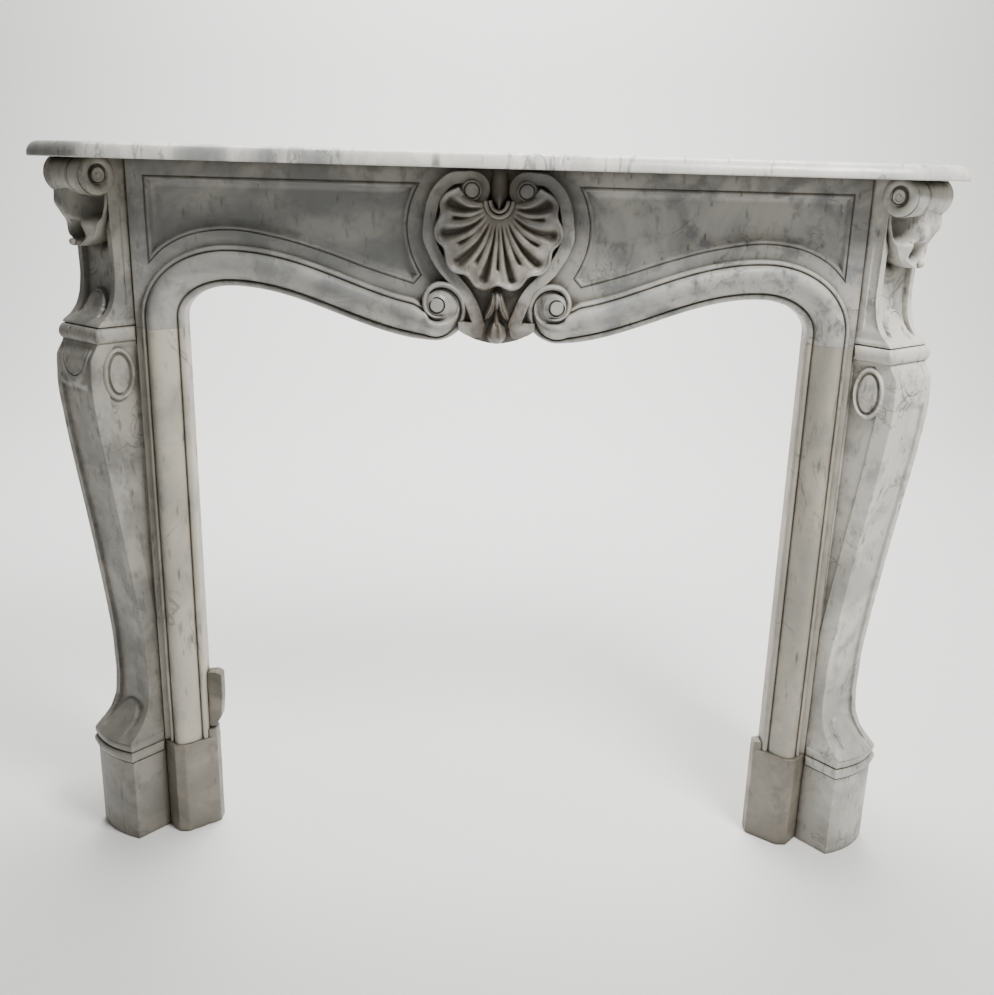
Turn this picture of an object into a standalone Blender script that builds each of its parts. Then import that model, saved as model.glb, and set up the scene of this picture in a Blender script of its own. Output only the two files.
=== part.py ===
"""A carved marble fireplace mantel with diagonal consoles and an arched frieze.

Metres, +Z up.  The front looks along -Y, the wall is at +Y, and the origin is on the
floor under the middle of the whole piece.  A point is often given as (across, forward, up):
across from the middle line, forward of the frieze's flat front, up from the floor.
"""
import bpy
import bmesh
import numpy as np
from math import atan2, cos, hypot, pi, radians, sin

# Overall sizes
HEIGHT = 1.092
SHELF_THICKNESS = 0.021
SHELF_DEPTH = 0.300
SHELF_WIDTH = 1.330
FRIEZE_HEIGHT = 0.2362
GAP = 0.0003

# Shelf plan, forward of the frieze, and its moulded edge
SHELF_REACH = 0.085
SHELF_BREAK = 0.010
BREAK_HALF_WIDTH = 0.078
BREAK_EASE = 0.015
CANT_START = 0.560
CANT_END_FORWARD = 0.0
EDGE_INSET = 0.019
EDGE_LIP = 0.003

# Legs and opening
CONSOLE_JOINT = 0.528
SLIP_WIDTH = 0.0705
PLINTH_HEIGHT = 0.160
SLIP_THICKNESS = 0.036
PLINTH_NOSE = 0.0230
PLINTH_NOSE_OUT = 0.0215
PLINTH_NOSE_WIDTH = 0.017
PLINTH_OVERHANG = 0.0125

# Frieze, with its heights measured from the springing line, where the slips end
FRIEZE_THICKNESS = 0.040
CORNER_RISE = 0.0152
CROWN_ACROSS = 0.385
CROWN_RISE = 0.0624
DIP_ACROSS = 0.0861
DIP_FALL = 0.0080
VOLUTE_RISE = 0.0460
VOLUTE_BUTTON = 0.0195
VOLUTE_LIFT = 0.020
CENTRE_FALL = 0.0103

# Consoles: the diagonal, the widths and the reach of the front along it
DIAGONAL = radians(50.5)
CONSOLE_WIDTH = 0.094
FOOT_WIDTH = 0.100
FOOT_REACH = 0.0610
FOOT_BOW = 0.0075
BLOCK_TOP = 0.1405
TORUS_HEIGHT = 0.0220
CONSOLE_BACK = 0.062
ANKLE_REACH = 0.0205
KNEE_REACH = 0.0755
RING_FALL = 0.0203
RING_HEIGHT = 0.0240
RING_SWELL = 0.0070
THROAT_REACH = 0.0245
SCROLL_RADIUS = 0.027
SCROLL_REACH = 0.0415
SCROLL_FALL = 0.0240
FLANK_BAND = 0.0270
FLANK_SINK = 0.0030
CHANNEL_BORDER = 0.0125
CHANNEL_DEPTH = 0.0035

# Side returns and the broken piece of return slab
RETURN_THICKNESS = 0.020
REMNANT_WIDTH = 0.0240
REMNANT_HEIGHT = 0.1000
LUG_RISE = 0.0150

# Worked out from the sizes above
UNDERSIDE = HEIGHT - SHELF_THICKNESS
FRONT_Y = -SHELF_DEPTH / 2 + SHELF_REACH + SHELF_BREAK
WALL = -(SHELF_DEPTH / 2 - FRONT_Y)
PIECE_TOP = UNDERSIDE - GAP
SPRING_HEIGHT = UNDERSIDE - FRIEZE_HEIGHT
CORNER_START = SPRING_HEIGHT + CORNER_RISE
CROWN_HEIGHT = SPRING_HEIGHT + CROWN_RISE
DIP_HEIGHT = SPRING_HEIGHT - DIP_FALL
VOLUTE_HEIGHT = SPRING_HEIGHT + VOLUTE_RISE
TORUS_TOP = BLOCK_TOP + TORUS_HEIGHT
RING_BOTTOM = SPRING_HEIGHT - RING_FALL
RING_TOP = RING_BOTTOM + RING_HEIGHT
SCROLL_HEIGHT = UNDERSIDE - SCROLL_FALL
OPENING_HALF = CONSOLE_JOINT - SLIP_WIDTH
FOOT_INSET = (FOOT_WIDTH - CONSOLE_WIDTH) / 2

# Section of the jamb and arch moulding: (distance in from the console, forward)
MOULDING = [
    (0.0, 0.0), (0.0110, 0.0), (0.0125, 0.0075), (0.0180, 0.0100), (0.0192, 0.0080),
    (0.0205, 0.0125), (0.0300, 0.0182), (0.0440, 0.0130), (0.0597, -0.0030), (0.0612, -0.0062),
    (0.0630, -0.0035), (0.0680, -0.0050), (SLIP_WIDTH, -0.0120),
]

BAND_WIDTH = SLIP_WIDTH - MOULDING[2][0]


def world(across, forward, up):
    """Place a point given across, forward of the frieze's front, and up."""
    return (across, FRONT_Y - forward, up)


def over_spring(points):
    """Turn (across, height over the springing line) into (across, up)."""
    return [(x, SPRING_HEIGHT + z) for x, z in points]


def on_diagonal(reach, side, up):
    """Place a point of the right console: reach along its diagonal, side across its face."""
    across = CONSOLE_JOINT + reach * cos(DIAGONAL) + side * sin(DIAGONAL)
    forward = reach * sin(DIAGONAL) - side * cos(DIAGONAL)
    return world(across, forward, up)


def ease(t):
    """Go from 0 to 1 with level ends, as half a cosine wave."""
    t = min(max(t, 0.0), 1.0)
    return (1 - cos(pi * t)) / 2


def curve_through(points, steps):
    """Carry a smooth curve through the points, with the same number of steps on each span."""
    pts = np.array(points, float)
    padded = np.vstack([2 * pts[0] - pts[1], pts, 2 * pts[-1] - pts[-2]])
    out = []
    for i in range(len(pts) - 1):
        a, b, c, d = padded[i:i + 4]
        for t in np.arange(steps) / steps:
            out.append(0.5 * (2 * b + (c - a) * t + (2 * a - 5 * b + 4 * c - d) * t * t
                              + (3 * b - a - 3 * c + d) * t ** 3))
    out.append(pts[-1])
    return np.array(out)


def smooth_value(knots, at):
    """Read a smooth value between (place, value) knots, level at a local peak or hollow."""
    places = np.array([k[0] for k in knots])
    values = np.array([k[1] for k in knots])
    slopes = np.diff(values) / np.diff(places)
    tangents = np.zeros(len(knots))
    for i in range(1, len(knots) - 1):
        if slopes[i - 1] * slopes[i] > 0:
            tangents[i] = 2 * slopes[i - 1] * slopes[i] / (slopes[i - 1] + slopes[i])
    i = int(np.clip(np.searchsorted(places, at) - 1, 0, len(knots) - 2))
    span = places[i + 1] - places[i]
    t = min(max((at - places[i]) / span, 0.0), 1.0)
    return ((2 * t ** 3 - 3 * t ** 2 + 1) * values[i] + (t ** 3 - 2 * t ** 2 + t) * span * tangents[i]
            + (3 * t ** 2 - 2 * t ** 3) * values[i + 1] + (t ** 3 - t ** 2) * span * tangents[i + 1])


def offset_path(path, distance, closed):
    """Move a path to its left by a distance, with mitred corners."""
    pts = np.array(path, float)
    after = np.roll(pts, -1, axis=0) - pts
    if not closed:
        after[-1] = after[-2]
    length = np.hypot(after[:, 0], after[:, 1])
    left = np.stack([-after[:, 1], after[:, 0]], axis=1) / length[:, None]
    before = np.roll(left, 1, axis=0)
    if not closed:
        before[0] = left[0]
    mitre = (left + before) / (1 + (left * before).sum(axis=1))[:, None]
    return pts + mitre * distance


def material(name, colour, roughness):
    """Make a plain stone material."""
    mat = bpy.data.materials.new(name)
    mat.use_nodes = True
    shader = mat.node_tree.nodes["Principled BSDF"]
    shader.inputs["Base Color"].default_value = (*colour, 1.0)
    shader.inputs["Roughness"].default_value = roughness
    shader.inputs["Metallic"].default_value = 0.0
    return mat


def is_flat(face):
    """Say whether all of a face's corners lie in its plane."""
    middle = face.calc_center_median()
    return all(abs((v.co - middle).dot(face.normal)) < 1e-7 for v in face.verts)


def make_object(name, verts, faces, mat=None):
    """Make a closed mesh object with its faces pointing out and its bent faces split."""
    mesh = bpy.data.meshes.new(name)
    mesh.from_pydata([tuple(v) for v in verts], [], faces)
    shape = bmesh.new()
    shape.from_mesh(mesh)
    shape.normal_update()
    bmesh.ops.triangulate(shape, faces=[f for f in shape.faces if not is_flat(f)])
    bmesh.ops.recalc_face_normals(shape, faces=shape.faces)
    shape.to_mesh(mesh)
    shape.free()
    obj = bpy.data.objects.new(name, mesh)
    bpy.context.scene.collection.objects.link(obj)
    if mat:
        mesh.materials.append(mat)
    return obj


def loft(rings):
    """Join closed rings of points with quads and close both ends; give points and faces."""
    count = len(rings[0])
    verts = [p for ring in rings for p in ring]
    faces = []
    for r in range(len(rings) - 1):
        for i in range(count):
            j = (i + 1) % count
            faces.append((r * count + i, r * count + j, (r + 1) * count + j, (r + 1) * count + i))
    faces.append(tuple(range(count - 1, -1, -1)))
    last = (len(rings) - 1) * count
    faces.append(tuple(range(last, last + count)))
    return verts, faces


def mirrored(shape):
    """Turn a right-hand shape into a left-hand one."""
    verts, faces = shape
    return [(-x, y, z) for x, y, z in verts], [tuple(reversed(f)) for f in faces]


def together(shapes):
    """Put several shapes into one list of points and faces."""
    verts, faces = [], []
    for points, sides in shapes:
        start = len(verts)
        verts += list(points)
        faces += [tuple(i + start for i in f) for f in sides]
    return verts, faces


def combine(target, name, shape, operation):
    """Add or cut a shape with an exact Boolean, keeping the tool as a hidden wire guide."""
    tool = make_object(name, *shape)
    tool.hide_render = True
    tool.display_type = "WIRE"
    step = target.modifiers.new(name, "BOOLEAN")
    step.operation = operation
    step.solver = "EXACT"
    step.object = tool


def extruded(outline, front, back):
    """Give a slab whose outline is (across, up), from one forward place to another."""
    return loft([[world(x, front, z) for x, z in outline], [world(x, back, z) for x, z in outline]])


def upright(plan, bottom, top):
    """Give a prism whose plan is (across, forward)."""
    return loft([[world(x, f, bottom) for x, f in plan], [world(x, f, top) for x, f in plan]])


# Shelf
def shelf_front():
    """Give the shelf's plan from the right wall corner round the front to the left one."""
    side = SHELF_WIDTH / 2
    corner = [(side, WALL), (side, CANT_END_FORWARD - 0.03), (side - 0.002, CANT_END_FORWARD),
              (side - 0.018, CANT_END_FORWARD + 0.022),
              (CANT_START + 0.020, SHELF_REACH - 0.016), (CANT_START + 0.002, SHELF_REACH - 0.004),
              (CANT_START - 0.025, SHELF_REACH)]
    out = [corner[0]] + [tuple(p) for p in curve_through(corner[1:], 2)]
    out += [(BREAK_HALF_WIDTH + BREAK_EASE, SHELF_REACH), (BREAK_HALF_WIDTH, SHELF_REACH + SHELF_BREAK)]
    return out + [(-x, f) for x, f in reversed(out)]


def shelf(mat):
    """Shelf slab: flat underside, a fine lip, then a convex edge up to the flat top."""
    plan = shelf_front()
    rings = []
    for t in (None, 0.0, 0.33, 0.67, 1.0):
        angle = (t or 0.0) * pi / 2
        inset = 0.0 if t is None else EDGE_INSET * (1 - cos(angle))
        rise = 0.0 if t is None else EDGE_LIP + (SHELF_THICKNESS - EDGE_LIP) * sin(angle)
        rings.append([world(x, f, UNDERSIDE + rise) for x, f in offset_path(plan, inset, False)])
    return make_object("shelf", *loft(rings), mat)


# Slips, plinths, returns and the broken slab
def slip_plan():
    """Give the plan of the right jamb moulding."""
    front = [(CONSOLE_JOINT - GAP, 0.0)] + [(CONSOLE_JOINT - a, d) for a, d in MOULDING[1:]]
    return front + [(OPENING_HALF, -SLIP_THICKNESS), (CONSOLE_JOINT - GAP, -SLIP_THICKNESS)]


def slip():
    """Jamb moulding from the plinth block up to the frieze."""
    return upright(slip_plan(), PLINTH_HEIGHT + GAP, SPRING_HEIGHT - GAP)


def plinth():
    """Faceted plinth block, with a lug of broken slab left standing at its inner corner."""
    outer = CONSOLE_JOINT - GAP
    inner = OPENING_HALF - PLINTH_OVERHANG
    nose = CONSOLE_JOINT - PLINTH_NOSE_OUT
    back = -SLIP_THICKNESS
    plan = [(outer, 0.0), (nose, PLINTH_NOSE), (nose - PLINTH_NOSE_WIDTH, PLINTH_NOSE),
            (inner, -PLINTH_OVERHANG), (inner, back), (outer, back)]
    lug_outer = OPENING_HALF - GAP
    lug = [(lug_outer, -PLINTH_OVERHANG + 0.006), (inner, -PLINTH_OVERHANG), (inner, back),
           (lug_outer, back)]
    return upright(plan, 0.0, PLINTH_HEIGHT), upright(lug, PLINTH_HEIGHT / 2, PLINTH_HEIGHT + LUG_RISE)


def remnant():
    """Broken lower end of the slab that lined the left side of the opening."""
    left = OPENING_HALF - GAP
    right = left - REMNANT_WIDTH
    foot = PLINTH_HEIGHT + LUG_RISE + GAP
    top = foot + REMNANT_HEIGHT
    outline = [(left, foot), (OPENING_HALF - PLINTH_OVERHANG, foot), (right + 0.004, foot + 0.012),
               (right, foot + 0.026), (right, top - 0.014), (right + 0.003, top - 0.004),
               (right + 0.009, top), (left - 0.004, top - 0.001), (left, top - 0.004)]
    return extruded(outline, -PLINTH_OVERHANG - 0.002, -SLIP_THICKNESS)


def side_return():
    """Plain slab from the back of the console to the wall."""
    outer = CONSOLE_JOINT + CONSOLE_WIDTH * sin(DIAGONAL)
    plan = [(outer - RETURN_THICKNESS, -CONSOLE_BACK - GAP), (outer, -CONSOLE_BACK - GAP),
            (outer, WALL), (outer - RETURN_THICKNESS, WALL)]
    return upright(plan, 0.0, PIECE_TOP)


# Frieze
def opening_edge():
    """Give the arch's edge, right half: up the jamb, round the corner, down an S to the dip."""
    out = [(OPENING_HALF, SPRING_HEIGHT), (OPENING_HALF, CORNER_START)]
    for t in np.linspace(0, pi / 2, 7)[1:]:
        out.append((CROWN_ACROSS + (OPENING_HALF - CROWN_ACROSS) * cos(t),
                    CORNER_START + (CROWN_HEIGHT - CORNER_START) * sin(t)))
    for t in np.linspace(0, 1, 10)[1:]:
        out.append((CROWN_ACROSS + (DIP_ACROSS - CROWN_ACROSS) * t,
                    CROWN_HEIGHT + (DIP_HEIGHT - CROWN_HEIGHT) * ease(t)))
    return out


def sweep(stations, section):
    """Carry a section along stations (x, z, direction in, width, lift).

    The section's points are (share of the width, forward), closed behind.
    """
    rings = []
    for x, z, inward, width, lift in stations:
        ring = []
        for share, forward, lifted in section:
            reach = share * width
            ring.append(world(x + inward[0] * reach, forward + lift * lifted, z + inward[1] * reach))
        rings.append(ring)
    return loft(rings)


def band_stations():
    """Follow the opening's edge to the dip, where the band narrows to pass under the volute."""
    edge = opening_edge()
    out = []
    for i, (x, z) in enumerate(edge):
        before, after = edge[max(i - 1, 0)], edge[min(i + 1, len(edge) - 1)]
        dx, dz = after[0] - before[0], after[1] - before[1]
        inward = np.array([dz, -dx]) / hypot(dx, dz)
        if i == 0:
            inward = np.array([1.0, 0.0])
        out.append((x, z, inward, BAND_WIDTH, VOLUTE_LIFT * 0.4 * ease((i - len(edge) + 5) / 4)))
    x, z, inward, _, lift = out[-1]
    out[-1] = (x, z, inward, VOLUTE_HEIGHT - DIP_HEIGHT - VOLUTE_BUTTON, lift)
    return out


def volute_stations():
    """Turn in from the dip towards the eye, three quarters of a turn, narrowing all the way."""
    start_radius = VOLUTE_HEIGHT - DIP_HEIGHT
    out = []
    for t in np.linspace(-0.03, 1, 10):
        turn = t * 1.5 * pi
        radius = start_radius - (start_radius - VOLUTE_BUTTON - 0.001) * max(t, 0.0) ** 0.92
        inward = np.array([sin(turn), cos(turn)])
        width = radius - VOLUTE_BUTTON + 0.0015
        out.append((DIP_ACROSS - inward[0] * radius, VOLUTE_HEIGHT - inward[1] * radius, inward,
                    width, VOLUTE_LIFT * (0.4 + 0.6 * t)))
    return out


def arch_section():
    """Turn the jamb moulding round for the frieze: shares of the width from the opening's edge."""
    front = [((SLIP_WIDTH - a) / BAND_WIDTH, d, 1.0) for a, d in reversed(MOULDING[2:])]
    back = -SLIP_THICKNESS
    return front + [(front[-1][0], back, 0.0), (0.0, back, 0.0)]


def button(across, up, rings, steps):
    """Give a turned disc on the frieze's front: (radius, forward) from the rim to the middle."""
    out = []
    for radius, forward in [(rings[0][0], -0.01)] + rings:
        out.append([world(across + radius * cos(a), forward, up + radius * sin(a))
                    for a in np.arange(steps) * 2 * pi / steps])
    return loft(out)


SCROLL_EDGE = over_spring([(0.0330, 0.0112), (0.0383, 0.0264), (0.0533, 0.0590), (0.0850, 0.0942),
                           (0.1035, 0.1272), (0.1078, 0.1522), (0.0985, 0.1992), (0.0730, 0.2277),
                           (0.0440, 0.2332)])
SCROLL_EYE = (0.0387, SPRING_HEIGHT + 0.2060)
SCROLL_RIBBON = 0.0175
SCROLL_BUTTON = 0.0135
SCROLL_HIGH = 0.016


def scroll_stations():
    """Follow the outer edge of the right C-scroll up and over into its eye."""
    edge = curve_through(SCROLL_EDGE, 2)
    out = []
    for i, (x, z) in enumerate(edge):
        before, after = edge[max(i - 1, 0)], edge[min(i + 1, len(edge) - 1)]
        dx, dz = after[0] - before[0], after[1] - before[1]
        out.append((x, z, np.array([-dz, dx]) / hypot(dx, dz), SCROLL_RIBBON, 0.0))
    start = hypot(SCROLL_EDGE[-1][0] - SCROLL_EYE[0], SCROLL_EDGE[-1][1] - SCROLL_EYE[1])
    turn_from = atan2(SCROLL_EDGE[-1][1] - SCROLL_EYE[1], SCROLL_EDGE[-1][0] - SCROLL_EYE[0])
    for t in np.linspace(0, 1, 9)[1:]:
        turn = turn_from + t * 1.5 * pi
        radius = start + (SCROLL_BUTTON + 0.001 - start) * t ** 0.8
        inward = np.array([-cos(turn), -sin(turn)])
        width = SCROLL_RIBBON + (radius - SCROLL_BUTTON + 0.002 - SCROLL_RIBBON) * ease(t * 2.5)
        out.append((SCROLL_EYE[0] - inward[0] * radius, SCROLL_EYE[1] - inward[1] * radius, inward,
                    width, 0.003 * t))
    return out


SHELL_HINGE = SPRING_HEIGHT + 0.1832
SHELL_RADIUS = 0.1140
SHELL_END = 0.0680
SHELL_LOBES = 4
SHELL_HIGH = 0.030
HINGE_CENTRE = SHELL_HINGE + 0.0110
HINGE_RIDGE = 0.0056


def shell_point(k, out):
    """Give (across, forward, up) of the shell at rib number k, a share of the way out.

    The ribs leave the hinge steeply and bend outwards.  Flutes are hollow between ribs, and the
    rim swells over each flute.
    """
    angle = radians(24.5 * abs(k) + 1.1 * k * k) * (1 if k >= 0 else -1)
    end = radians(24.5 * SHELL_LOBES + 1.1 * SHELL_LOBES ** 2)
    radius = SHELL_RADIUS - (SHELL_RADIUS - SHELL_END) * (abs(angle) / end) ** 1.8
    radius *= 1 - 0.035 * cos(2 * pi * k)
    lean = angle * (0.60 + 0.40 * out)
    dome = SHELL_HIGH * (0.60 + 0.62 * out - 0.50 * out * out)
    flute = 0.0065 * sin(pi * min(out * 1.15, 1.0) * 0.5) * (1.0 - 0.35 * out ** 4)
    forward = dome + flute * (cos(2 * pi * k) - 0.35)
    return radius * out * sin(lean), forward, SHELL_HINGE - radius * out * cos(lean)


def shell():
    """Fluted scallop shell with a scalloped rim that stands clear of the ground."""
    fine = 4
    across = np.arange(-SHELL_LOBES * fine, SHELL_LOBES * fine + 1) / fine
    outs = (0.10, 0.30, 0.55, 0.80, 0.94, 1.0)
    rings = []
    for k in across:
        front = [shell_point(k, s) for s in outs]
        tip = front[-1]
        root = (tip[0] * 0.90, -0.008, SHELL_HINGE + (tip[2] - SHELL_HINGE) * 0.90)
        heart = (front[0][0], -0.008, front[0][2])
        rings.append([world(*p) for p in front + [(tip[0] * 0.985, tip[1] - 0.006, tip[2] + 0.001), root,
                                                   heart]])
    return loft(rings)


def hinge():
    """Two nested ridges hung between the upper eyes, over the shell's root."""
    shapes = []
    for radius, forward in ((0.0190, 0.026), (0.0125, 0.031)):
        half = HINGE_RIDGE / 2
        section = [(-half, -0.008), (-half, forward - 0.003), (0.0, forward), (half, forward - 0.003),
                   (half, -0.008)]
        rings = []
        for a in np.linspace(radians(-172), radians(-8), 8):
            rings.append([world((radius + r) * cos(a), f, HINGE_CENTRE + (radius + r) * sin(a))
                          for r, f in section])
        shapes.append(loft(rings))
    return shapes


def rounded_stem(rows):
    """Give a half-round carved stem from rows of (height over springing, half width, forward)."""
    rings = []
    for up, half, forward in rows:
        rings.append([world(half * cos(a), max(forward * sin(a), 0) - (0.012 if sin(a) < 0 else 0),
                            SPRING_HEIGHT + up)
                      for a in np.linspace(-pi * 0.25, pi * 1.25, 8)])
    return loft(rings)


def husk():
    """Bellflower husk under the shell: a calyx whose tips turn out, and a bulb."""
    calyx = [(0.0712, 0.0030, 0.010), (0.0637, 0.0050, 0.014), (0.0552, 0.0085, 0.018),
             (0.0412, 0.0105, 0.018), (0.0302, 0.0160, 0.014), (0.0252, 0.0175, 0.008)]
    bulb = [(0.0312, 0.0045, 0.014), (0.0192, 0.0090, 0.017), (0.0072, 0.0140, 0.020),
            (-0.0018, 0.0135, 0.018), (-0.0078, 0.0090, 0.012)]
    return [rounded_stem(calyx), rounded_stem(bulb)]


def tongue():
    """Tapered tongue between the two upper eyes."""
    root = PIECE_TOP - SPRING_HEIGHT - 0.004
    return rounded_stem([(root, 0.0075, 0.010), (0.2212, 0.0095, 0.016), (0.2032, 0.0090, 0.022),
                         (0.1872, 0.0050, 0.030), (0.1832, 0.0030, 0.030)])


def scroll_foot():
    """Small plate that the C-scroll ends in, beside the lower volute."""
    outline = [(0.0205, 0.0212), (0.0185, 0.0092), (0.0225, -0.0003), (0.0330, -0.0018),
               (0.0470, 0.0042), (0.0560, 0.0102), (0.0560, 0.0222)]
    return extruded(over_spring(outline), 0.0105, -0.010)


PANEL_TOP = UNDERSIDE - 0.0210
PANEL_SIDE = 0.5040
PANEL_ARCH = over_spring([(PANEL_SIDE, 0.0902), (0.4760, 0.1162), (0.4340, 0.1352), (0.3780, 0.1412),
                          (0.3120, 0.1310), (0.2480, 0.1132), (0.1850, 0.0914), (0.1210, 0.0720)])
PANEL_HEEL = (0.1085, SPRING_HEIGHT + 0.0860)
PANEL_HEAD = 0.1120
PANEL_HOLLOW = 0.1295


def resampled(path, count):
    """Space the same number of points evenly along a path."""
    pts = np.array(path)
    along = np.concatenate([[0], np.cumsum(np.hypot(*np.diff(pts, axis=0).T))])
    at = np.linspace(0, along[-1], count)
    return [(float(np.interp(a, along, pts[:, 0])), float(np.interp(a, along, pts[:, 1]))) for a in at]


def panel_ring(inset):
    """Give the right panel, moved in: straight top and side, an S along the arch, a hollow end."""
    out = [tuple(p) for p in curve_through(PANEL_ARCH, 8)]
    low = len(out)
    middle = (PANEL_TOP + PANEL_HEEL[1]) / 2
    half = (PANEL_TOP - PANEL_HEEL[1]) / 2
    for t in np.linspace(-1, 1, 7):
        straight = PANEL_HEEL[0] + (PANEL_HEAD - PANEL_HEEL[0]) * (t + 1) / 2
        bulge = PANEL_HOLLOW - (PANEL_HEAD + PANEL_HEEL[0]) / 2
        out.append((straight + bulge * (1 - t * t), middle + half * t))
    out.append((PANEL_SIDE, PANEL_TOP))
    moved = offset_path(out, -inset, True)
    side = PANEL_SIDE - inset
    curve = [p for p in moved[1:low] if p[0] < side]
    slope = (curve[1][1] - curve[0][1]) / (curve[1][0] - curve[0][0])
    tip = (side, curve[0][1] + slope * (side - curve[0][0]))
    return resampled([tip] + curve, 14) + [tuple(p) for p in moved[low:]]


def panel_cutter():
    """Give the space inside a sunk panel: a quirk, a bead and a cove down to the field."""
    rings = [(0.0, 0.02), (0.0, -0.0030), (0.0032, -0.0004), (0.0062, -0.0008), (0.0085, -0.0045),
             (0.0130, -0.0070)]
    return loft([[world(x, d, z) for x, z in panel_ring(inset)] for inset, d in rings])


def frieze_outline():
    """Give the frieze slab's outline, its lower edge hidden inside the arch moulding."""
    cover = BAND_WIDTH / 2
    edge = resampled(offset_path(opening_edge(), -cover, False), 12)
    right = [(CONSOLE_JOINT - GAP, PIECE_TOP), (CONSOLE_JOINT - GAP, SPRING_HEIGHT + 0.0002),
             (OPENING_HALF + cover, SPRING_HEIGHT + 0.0002)]
    right += [(x, z) for x, z in edge[1:] if x > 0.11]
    right += over_spring([(0.0850, 0.0192), (0.0535, 0.0092), (0.0380, -0.0013), (0.0220, -0.0068),
                          (0.0, -CENTRE_FALL)])
    return right + [(-x, z) for x, z in reversed(right[:-1])]


def both(shape):
    """Give a right-hand shape and its mirror image as one."""
    return together([shape, mirrored(shape)])


def frieze(mat):
    """Carve the frieze from one slab."""
    slab = make_object("frieze", *extruded(frieze_outline(), 0.0, -FRIEZE_THICKNESS), mat)
    combine(slab, "panel_space", both(panel_cutter()), "DIFFERENCE")
    combine(slab, "arch_moulding", both(sweep(band_stations(), arch_section())), "UNION")
    combine(slab, "volute", both(sweep(volute_stations(), arch_section())), "UNION")
    ribbon = [(0.0, -0.006, 0.0), (0.0, SCROLL_HIGH - 0.004, 1.0), (0.10, SCROLL_HIGH, 1.0),
              (0.85, SCROLL_HIGH + 0.001, 1.0), (1.0, SCROLL_HIGH - 0.003, 1.0), (1.0, -0.006, 0.0)]
    combine(slab, "scroll_ribbon", both(sweep(scroll_stations(), ribbon)), "UNION")
    low = [(0.0195, 0.020), (0.0175, 0.024), (0.0145, 0.022), (0.0120, 0.016), (0.0095, 0.016),
           (0.0085, 0.027), (0.0060, 0.029)]
    combine(slab, "lower_eye", both(button(DIP_ACROSS, VOLUTE_HEIGHT, low, 12)), "UNION")
    high = [(0.0140, 0.016), (0.0125, 0.019), (0.0110, 0.015), (0.0095, 0.015), (0.0085, 0.022),
            (0.0060, 0.024)]
    combine(slab, "upper_eye", both(button(*SCROLL_EYE, high, 12)), "UNION")
    combine(slab, "scroll_end", both(scroll_foot()), "UNION")
    combine(slab, "shell", shell(), "UNION")
    outer, inner = hinge()
    combine(slab, "hinge_outer", outer, "UNION")
    combine(slab, "hinge_inner", inner, "UNION")
    combine(slab, "tongue", tongue(), "UNION")
    calyx, bulb = husk()
    combine(slab, "husk_calyx", calyx, "UNION")
    combine(slab, "husk_bulb", bulb, "UNION")
    return slab


# Consoles
def on_shaft(share):
    """Give the height at a share of the way from the torus to the ring."""
    return TORUS_TOP + (RING_BOTTOM - TORUS_TOP) * share


# Reach of the front along the diagonal: by share of the shaft, then by height over springing
SHAFT_REACH = [
    (0.0, FOOT_REACH - 0.001), (0.0146, 0.0560), (0.0345, 0.0450), (0.0606, 0.0330), (0.0959, 0.0240),
    (0.1572, ANKLE_REACH), (0.2416, 0.0215), (0.3413, 0.0275), (0.4563, 0.0370), (0.5790, 0.0480),
    (0.7017, 0.0600), (0.8090, 0.0695), (0.9087, KNEE_REACH), (0.9624, 0.0738), (1.0, 0.0620),
]
THROAT_PROFILE = [
    (RING_HEIGHT - RING_FALL, 0.0590), (0.0132, 0.0480), (0.0272, 0.0355), (0.0502, 0.0275),
    (0.0802, THROAT_REACH), (0.1202, 0.0260), (0.1652, 0.0300),
]
REACH = ([(on_shaft(share), reach) for share, reach in SHAFT_REACH]
         + [(SPRING_HEIGHT + rise, reach) for rise, reach in THROAT_PROFILE] + [(PIECE_TOP, 0.0330)])


def swell(up):
    """Say how far the foot, its torus and the ring stand out from the shaft all round."""
    knots = [(0.0, FOOT_INSET), (BLOCK_TOP - 0.0010, FOOT_INSET), (BLOCK_TOP + 0.0010, FOOT_INSET - 0.0015),
             (BLOCK_TOP + 0.0030, FOOT_INSET + 0.0015), (BLOCK_TOP + 0.0110, FOOT_INSET + 0.0035),
             (TORUS_TOP - 0.0030, FOOT_INSET + 0.0010), (TORUS_TOP, FOOT_INSET - 0.0010),
             (TORUS_TOP + 0.0300, 0.0), (RING_BOTTOM, 0.0), (RING_BOTTOM + 0.0020, RING_SWELL * 0.6),
             (RING_BOTTOM + 0.0065, RING_SWELL), (RING_BOTTOM + 0.0110, RING_SWELL),
             (RING_BOTTOM + 0.0150, RING_SWELL * 0.5), (RING_BOTTOM + 0.0170, RING_SWELL * 0.15),
             (RING_TOP, RING_SWELL * 0.15), (RING_TOP + 0.012, 0.0), (PIECE_TOP, 0.0)]
    return float(np.interp(up, [k[0] for k in knots], [k[1] for k in knots]))


def console_rows():
    """Give the heights at which the console's section is taken, closer where it turns."""
    foot = [0.0, BLOCK_TOP - 0.0010, BLOCK_TOP + 0.0010, BLOCK_TOP + 0.0030, BLOCK_TOP + 0.0110,
            TORUS_TOP - 0.0030, TORUS_TOP]
    shares = [0.0146, 0.0330, 0.0545, 0.0882, 0.1342, 0.1956] + list(np.linspace(0.2952, 0.8857, 7))
    shaft = [on_shaft(share) for share in shares + [0.9394, 0.9732, 1.0]]
    ring = [RING_BOTTOM + 0.0020, RING_BOTTOM + 0.0065, RING_BOTTOM + 0.0110, RING_BOTTOM + 0.0150,
            RING_BOTTOM + 0.0170, RING_TOP]
    throat = [SPRING_HEIGHT + rise for rise in (0.0132, 0.0252, 0.0452, 0.0802, 0.1252, 0.1752)]
    return foot + shaft + ring + throat + [PIECE_TOP]


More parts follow.
